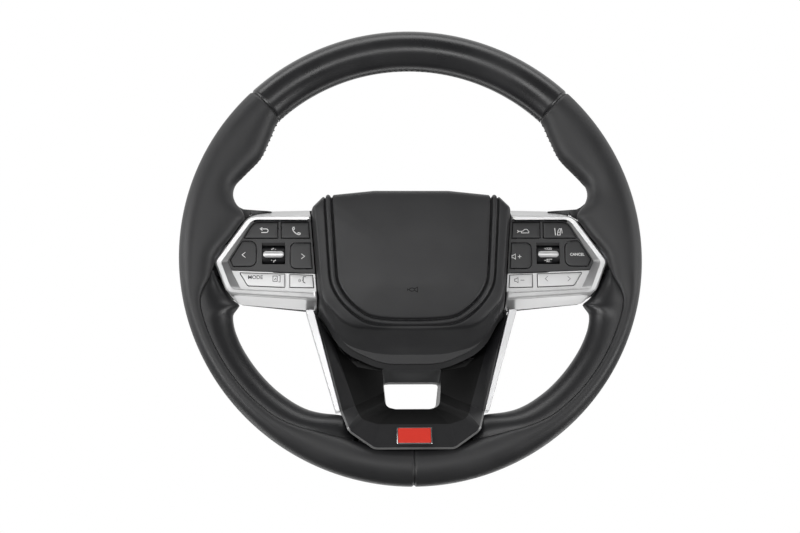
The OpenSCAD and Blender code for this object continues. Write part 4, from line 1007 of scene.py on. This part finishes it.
PHONE = [([(-2.6, 2.9), (-3.1, 1.7), (-2.5, 0.0), (-1.2, -1.5), (0.4, -2.7), (2.1, -3.3), (3.2, -2.9)], 0.8, False),
         ([(-3.0, 2.9), (-1.8, 3.1), (-1.5, 1.4), (-2.6, 1.0)], 0.7, False),
         ([(3.2, -3.3), (3.2, -2.0), (1.6, -1.5), (1.1, -2.7)], 0.7, False)]
BACK = [([(-3.0, 1.3)] + arc(1.8, -0.2, 1.5, 90, -90, 8) + [(-2.2, -1.7)], 0.7, False),
        ([(-1.4, 2.6), (-3.2, 1.3), (-1.4, 0.0)], 0.6, False)]
TALK = [([(2.6, 2.7), (0.6, 2.6), (0.1, 1.4), (0.5, 0.5), (-0.3, -0.3), (0.4, -0.8), (0.3, -1.9), (1.6, -2.3), (1.8, -3)], 0.6, False),
        (arc(-0.2, -0.6, 1.8, 150, 210, 6), 0.55, False), (arc(-0.2, -0.6, 3.0, 152, 208, 7), 0.55, False)]
VIEW = [([(-2.9, 2.3), (0.6, 2.3), (0.6, -2.1), (-2.9, -2.1)], 0.55, True), ([(1.6, -2.6), (3.0, -2.6), (3.0, 2.8), (1.6, 2.8)], 0.5, False),
        ([(-1.8, -1.0), (-0.8, 0.4), (-0.3, -0.6)], 0.5, False)]
CAR = [([(-2.9, -1.1), (-3.0, 0.3), (-1.5, 0.6), (-0.3, 1.9), (1.8, 1.9), (2.7, 0.5), (3.2, 0.2), (3.0, -1.1)], 0.5, True),
       ([(-6.4, 1.2), (-5.2, 0.2), (-6.4, -0.8)], 0.55, False), ([(-4.9, 0.2), (-3.5, 0.2)], 0.6, False)]
LANE = [([(-3.0, 3.0), (-2.5, -3.0)], 0.6, False), ([(2.6, 3.0), (3.1, -1.4)], 0.5, False),
        ([(-0.9, -2.8), (-0.4, 0.4), (0.9, 2.6), (2.0, 2.4), (1.5, 0.0), (1.4, -2.8)], 0.5, True), ([(-0.4, -0.4), (1.5, -0.4)], 0.45, False)]
HORN = [([(-3.9, 0.9), (-3.9, -0.9)], 0.7, False), ([(-3.9, 0.0), (-2.2, 0.0)], 0.7, False),
        (arc(-0.3, 0, 2.1, 0, 345, 18, 0.62), 0.65, True), ([(1.7, 0.6), (4.2, 1.9), (4.2, -1.9), (1.7, -0.6)], 0.65, False)]

for name, key, strokes in (
        ("back_sign", "back_key", shifted(-120.7, 21, BACK)), ("phone_sign", "phone_key", shifted(-94.3, 20.7, PHONE)),
        ("previous_sign", "previous_key", chevron(-136, 0.6, -2.6, 0)), ("next_sign", "next_key", chevron(-90.2, -0.6, 2.6, 0)),
        ("distance_sign", "distance_key", shifted(94.2, 20, CAR)), ("lane_sign", "lane_key", shifted(121.9, 19.9, LANE)),
        ("volume_up_sign", "volume_up_key", speaker(84.6, -1) + plus(89.3, -1))):
    legend(name, strokes, key_height, PAINT, key + "_body")
for name, key, strokes in (
        ("view_sign", "mode_rocker", shifted(-110.5, -19.4, VIEW)), ("voice_sign", "voice_key", shifted(-89, -20.3, TALK)),
        ("volume_down_sign", "volume_down_key", speaker(86.4, -20.8) + minus(91.2, -20.8)),
        ("seek_signs", "seek_rocker", chevron(112.2, -19.6, -2.2, 0, 0.4) + chevron(128.6, -19.6, 2.2, 0, 0.4))):
    legend(name, strokes, key_height, INK, key + "_body")
legend("scroll_signs", chevron(-ROLLER_X, ROLLER_Y + 4.1, 0, 1.3, 0.8) + chevron(-ROLLER_X, ROLLER_Y - 4.5, 0, -1.3, 0.8), drum_height,
       PAINT, "roller_left_body")
words("mode_words", "MODE", -127.7, -18.2, 4.3, key_height, INK, "mode_rocker_body")
words("cancel_words", "CANCEL", 137.0, 0.7, 3.1, key_height, PAINT, "cancel_key_body")
words("resume_words", "+RES", ROLLER_X, ROLLER_Y + 4.9, 3.0, drum_height, PAINT, "roller_right_body")
words("set_words", "\u2212SET", ROLLER_X, ROLLER_Y - 5.1, 3.0, drum_height, PAINT, "roller_right_body")
legend("horn_sign", shifted(-0.4, -32.0, HORN), lambda x, y: cover_surface.ray_cast(Vector((x, y, 60)), Vector((0, 0, -1)))[0].z + 0.04, RECESS,
       "airbag_module")


# ---------------------------------------------------------------- lips and stitches
LIP_LOW = [(114.8, 35.5), (124, 33.9), (133.2, 31.3), (142.3, 26.1), (148.5, 22.2)]
LIP_TOP = [(114.8, 35.9), (127.1, 36.6), (137.8, 37.4), (141, 39), (145.3, 42.5), (150, 46)]


def lip(name, mirror):
    """Pointed lip of the grip's leather, lying over the rear top corner of the bezel. Its edges are given as seen in the photo."""
    skin = BVHTree.FromObject(bezel_right, bpy.context.evaluated_depsgraph_get())

    def height(x, y, missed=-16.0):
        hit = skin.ray_cast(Vector((x / 1000, -0.2, y / 1000)), Vector((0, 1, 0)))[0]
        return -DISH - hit.y * 1000 if hit else missed

    def seen(x, level, z=None):
        """The point that shows at this level in the photo, at height z or on the bezel."""
        y = level
        for _ in range(6):
            top = height(x, y, 0.5) if z is None else z
            y = (level - 0.2 * top) / 0.98
        return np.array([x, y, top])
    loops = []
    stations = np.linspace(152, LIP_TOP[0][0], 76)
    for i, x in enumerate(stations):
        low = seen(x, np.interp(x, *zip(*LIP_LOW)))
        high = seen(x, np.interp(x, *zip(*LIP_TOP)), np.interp(x, [118, 132, 148], [-13, -9, -3]))
        full = 0.9 * min(1, (len(stations) - 0.9 - i) / 12)
        outer = []
        for k in range(12):
            q = low + (high - low) * k / 11
            q[2] = max(q[2], height(x, q[1])) + 0.12 + full * min(1, k / 3)**0.6
            outer.append(q)
        back = [high + np.array([0, 0.5, -2.0]), high + np.array([0, 0.3, -5.0]), high + np.array([0, -1.2, -5.5])]
        loops.append(outer + back + [q - np.array([0, 0, 1.6]) for q in outer[::-1]])
    # the ray casts jump at the groove and the corners: an even run along the lip takes the steps out
    grid = np.array(loops)
    least = grid[:, :, 2].copy()
    for _ in range(12):
        grid[1:-1, :, 2] = np.maximum(grid[1:-1, :, 2], (grid[:-2, :, 2] + grid[2:, :, 2]) / 2)
        grid[1:-1, :, 2] = 0.5 * grid[1:-1, :, 2] + 0.25 * (grid[:-2, :, 2] + grid[2:, :, 2]) + 0.01
    grid[:, :, 2] = np.maximum(grid[:, :, 2], least)
    loops = grid.tolist()
    piece = loft(name, loops, GRAINED_LEATHER, mirror=mirror, smooth=60)


def stitches(name, angles, mirror=False):
    """Threads across the seam on the inner side of the rim, one each few millimetres."""
    verts, faces = [], []
    for a in angles:
        section = wrap(a, -0.2)
        zs = [section[k][1] for k in (-3, -2, -1, 0, 1, 2)]
        rs = [section[k][0] for k in (-3, -2, -1, 0, 1, 2)]
        for j, z in enumerate(np.linspace(-2.6, 2.6, 7)):
            ends = abs(j - 3) / 3
            r = np.interp(z, zs, rs) + 0.35 * ends**4
            turn = math.radians(a + 0.45 * z / 2.6)
            for k in range(6):
                c, d = 0.36 * math.cos(math.pi * k / 3), 0.36 * math.sin(math.pi * k / 3)
                across = r + c
                verts.append((across * math.sin(turn) + d * math.cos(turn), across * math.cos(turn) - d * math.sin(turn), z))
        base = len(verts) - 42
        faces += [tuple(base + i for i in f) for f in loft_faces(7, 6)]
        faces += [tuple(base + i for i in range(5, -1, -1)), tuple(base + 36 + i for i in range(6))]
    piece = make(name, verts, faces, THREAD, mirror=mirror, smooth=60)


lip("leather_lip_right", False)
lip("leather_lip_left", True)
STITCH_STEP = 1.65
for side, mirror in (("right", False), ("left", True)):
    stitches("stitches_top_" + side, np.arange(1, 66, STITCH_STEP), mirror)
    stitches("stitches_low_" + side, np.arange(164, 179.5, STITCH_STEP), mirror)


# ---------------------------------------------------------------- plate on the lower spoke
def spoke_plate():
    """Bevelled field of red enamel in a thin bright rim."""
    w, h, lean = 14.0, 7.25, math.radians(-16.6)

    def stand(points, z):
        return [(x, -151 + y * math.cos(lean) - z * math.sin(lean), 15 + y * math.sin(lean) + z * math.cos(lean)) for x, y in points]

    def frame_loop(d, r, z):
        return stand(rounded([(-w + d, -h + d, r), (w - d, -h + d, r), (w - d, h - d, r), (-w + d, h - d, r)], 6), z)
    edge = loft("plate_rim", [frame_loop(0, 1, 0), frame_loop(0, 1, 1.1), frame_loop(0.3, 0.8, 1.4), frame_loop(0.8, 0.6, 1.4),
                              frame_loop(0.9, 0.6, 0.5)], CHROME, smooth=30)
    field = loft("plate_field", [frame_loop(0.7, 0.6, 0.3), frame_loop(0.8, 0.6, 1.12), frame_loop(1.3, 0.5, 1.25), frame_loop(2.2, 0.5, 1.3)],
                 ENAMEL, smooth=30)
    piece = join("spoke_plate", [edge, field])
    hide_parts("spoke_plate")


spoke_plate()

# ---------------------------------------------------------------- horn springs
def horn_springs():
    """Coil springs round the guide pins, made as one fixed mesh. On the wheel they close up as the airbag module is
    pressed.
    """
    low, high, r, wire, turns = -40.95, -20.55, 4.3, 0.6, 4
    verts, faces = [], []
    rows, sides = 30 * turns, 10
    for x, y in PIN_PLACES:
        base = len(verts)
        for i in range(rows + 1):
            a = 2 * math.pi * turns * i / rows
            # flat end coils, and an even rise between them
            u = min(1, max(0, (i / rows - 0.08) / 0.84))
            z = low + wire + (high - low - 2 * wire) * u
            for k in range(sides):
                b = 2 * math.pi * k / sides
                q = r + wire * math.cos(b)
                verts.append((x + q * math.cos(a), y + q * math.sin(a), z + wire * math.sin(b)))
        faces += [tuple(base + i for i in f) for f in loft_faces(rows + 1, sides)]
        faces += [tuple(base + i for i in range(sides - 1, -1, -1)), tuple(base + rows * sides + i for i in range(sides))]
    piece = make("horn_springs", verts, faces, STEEL, smooth=60)
    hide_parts("horn_springs")
    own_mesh(piece)


horn_springs()


def spoke_web(name, mirror):
    """Dark web behind the gap between the airbag cover and the top of the lower spoke."""
    corners = [(66, -62, 1), (75.4, -62, 1), (80, -44, 1), (80, -40, 1), (66, -40, 1)]
    piece = loft(name, column(corners, -24.1, -22.9, 4), REAR, mirror=mirror, bevel=0.2)


spoke_web("spoke_web_right", False)
spoke_web("spoke_web_left", True)

# ---------------------------------------------------------------- carried-over nodes
KEPT = {
    "armature": ALLOY, "rim_ring": STEEL, "hub_insert": STEEL, "rim_foam": FOAM, "switch_board_left": BOARD, "switch_board_right": BOARD,
    "dome_mat_left": SILICONE, "dome_mat_right": SILICONE, "switch_housing_left": PANEL_BLACK, "switch_housing_right": PANEL_BLACK,
    "airbag_retainer": STEEL, "airbag_cushion": CLOTH, "inflator": STEEL, "inflator_nuts": STEEL, "horn_guide_pins": STEEL,
    "horn_bushings": WHITE_PLASTIC, "rear_cover_screws": STEEL,
}
for node, material in KEPT.items():
    for slot in frame["nodes"][node].material_slots:
        slot.material = material

# ---------------------------------------------------------------- camera, light and backdrop
def camera():
    az, el = math.radians(-3.0), math.radians(-11.5)
    away = Vector((math.sin(az) * math.cos(el), -math.cos(az) * math.cos(el), math.sin(el)))
    data = bpy.data.cameras.new("camera")
    data.lens, data.sensor_width = 98.75, 36
    data.shift_x, data.shift_y = -0.0143, -0.0146
    data.clip_start, data.clip_end = 0.05, 20
    item = bpy.data.objects.new("camera", data)
    turn = (-away).to_track_quat("-Z", "Y").to_matrix() @ Matrix.Rotation(math.radians(-0.64), 3, "Z")
    item.matrix_world = Matrix.Translation(Vector((0, -0.07, 0)) + 1.8 * away) @ turn.to_4x4()
    scene.collection.objects.link(item)
    scene.camera = item


def lamp(name, at, size, power, aim=(0, -0.07, 0), height=None):
    data = bpy.data.lights.new(name, "AREA")
    data.shape, data.size, data.size_y = "RECTANGLE", size, height or size
    data.energy = power
    item = bpy.data.objects.new(name, data)
    item.location = at
    item.rotation_euler = (Vector(aim) - Vector(at)).to_track_quat("-Z", "Y").to_euler()
    item.visible_camera = False
    scene.collection.objects.link(item)


def world():
    """White behind the wheel for the camera and in reflections, dimmer in front, and an even soft fill."""
    data = bpy.data.worlds.new("studio")
    scene.world = data
    data.use_nodes = True
    nodes, links = data.node_tree.nodes, data.node_tree.links
    nodes.clear()
    target = nodes.new("ShaderNodeOutputWorld")
    fill, seen, mirror = (nodes.new("ShaderNodeBackground") for _ in range(3))
    fill.inputs["Color"].default_value, fill.inputs["Strength"].default_value = (1, 1, 1, 1), 0.26
    seen.inputs["Color"].default_value, seen.inputs["Strength"].default_value = (1, 1, 1, 1), 1.0
    coords, split, ramp = nodes.new("ShaderNodeTexCoord"), nodes.new("ShaderNodeSeparateXYZ"), nodes.new("ShaderNodeMapRange")
    links.new(coords.outputs["Generated"], split.inputs[0])
    links.new(split.outputs["Y"], ramp.inputs["Value"])
    for key, value in (("From Min", -0.45), ("From Max", 0.25), ("To Min", 0.10), ("To Max", 1.0)):
        ramp.inputs[key].default_value = value
    mirror.inputs["Color"].default_value = (1, 1, 1, 1)
    links.new(ramp.outputs["Result"], mirror.inputs["Strength"])
    path = nodes.new("ShaderNodeLightPath")
    either = nodes.new("ShaderNodeMath")
    either.operation = "MAXIMUM"
    links.new(path.outputs["Is Glossy Ray"], either.inputs[0])
    links.new(path.outputs["Is Transmission Ray"], either.inputs[1])
    first, second = nodes.new("ShaderNodeMixShader"), nodes.new("ShaderNodeMixShader")
    links.new(either.outputs[0], first.inputs["Fac"])
    links.new(fill.outputs[0], first.inputs[1])
    links.new(mirror.outputs[0], first.inputs[2])
    links.new(path.outputs["Is Camera Ray"], second.inputs["Fac"])
    links.new(first.outputs[0], second.inputs[1])
    links.new(seen.outputs[0], second.inputs[2])
    links.new(second.outputs[0], target.inputs["Surface"])


def floor():
    mesh = bpy.data.meshes.new("floor")
    mesh.from_pydata([(-4, -4, -0.46), (4, -4, -0.46), (4, 4, -0.46), (-4, 4, -0.46)], [], [(0, 1, 2, 3)])
    material = shader("floor", (0.80, 0.80, 0.80), 0.8)
    path = material.node_tree.nodes.new("ShaderNodeLightPath")
    shade = remap(material, path.outputs["Is Camera Ray"], 0, 1, 0.22, 0.80)
    material.node_tree.links.new(shade, material.node_tree.nodes["Principled BSDF"].inputs["Base Color"])
    mesh.materials.append(material)
    item = bpy.data.objects.new("floor", mesh)
    scene.collection.objects.link(item)


camera()
world()
floor()
lamp("overhead", (0, -0.35, 1.2), 2.0, 10, height=0.5)
lamp("front_key", (-0.3, -1.7, 0.12), 1.4, 9, height=0.35)
lamp("left_low", (-0.85, -0.6, -0.34), 0.5, 4, aim=(0.1, -0.07, 0.08), height=0.2)
lamp("right_low", (0.85, -0.6, -0.34), 0.5, 4, aim=(-0.1, -0.07, 0.08), height=0.2)
lamp("left_side", (-1.3, -0.35, 0.25), 0.8, 5, height=0.5)
lamp("right_side", (1.3, -0.35, 0.25), 0.8, 3, height=0.5)
lamp("rear_low", (0, 0.45, -0.43), 1.2, 2.5, aim=(0, -0.05, -0.05), height=0.3)

scene.view_settings.view_transform = "Standard"
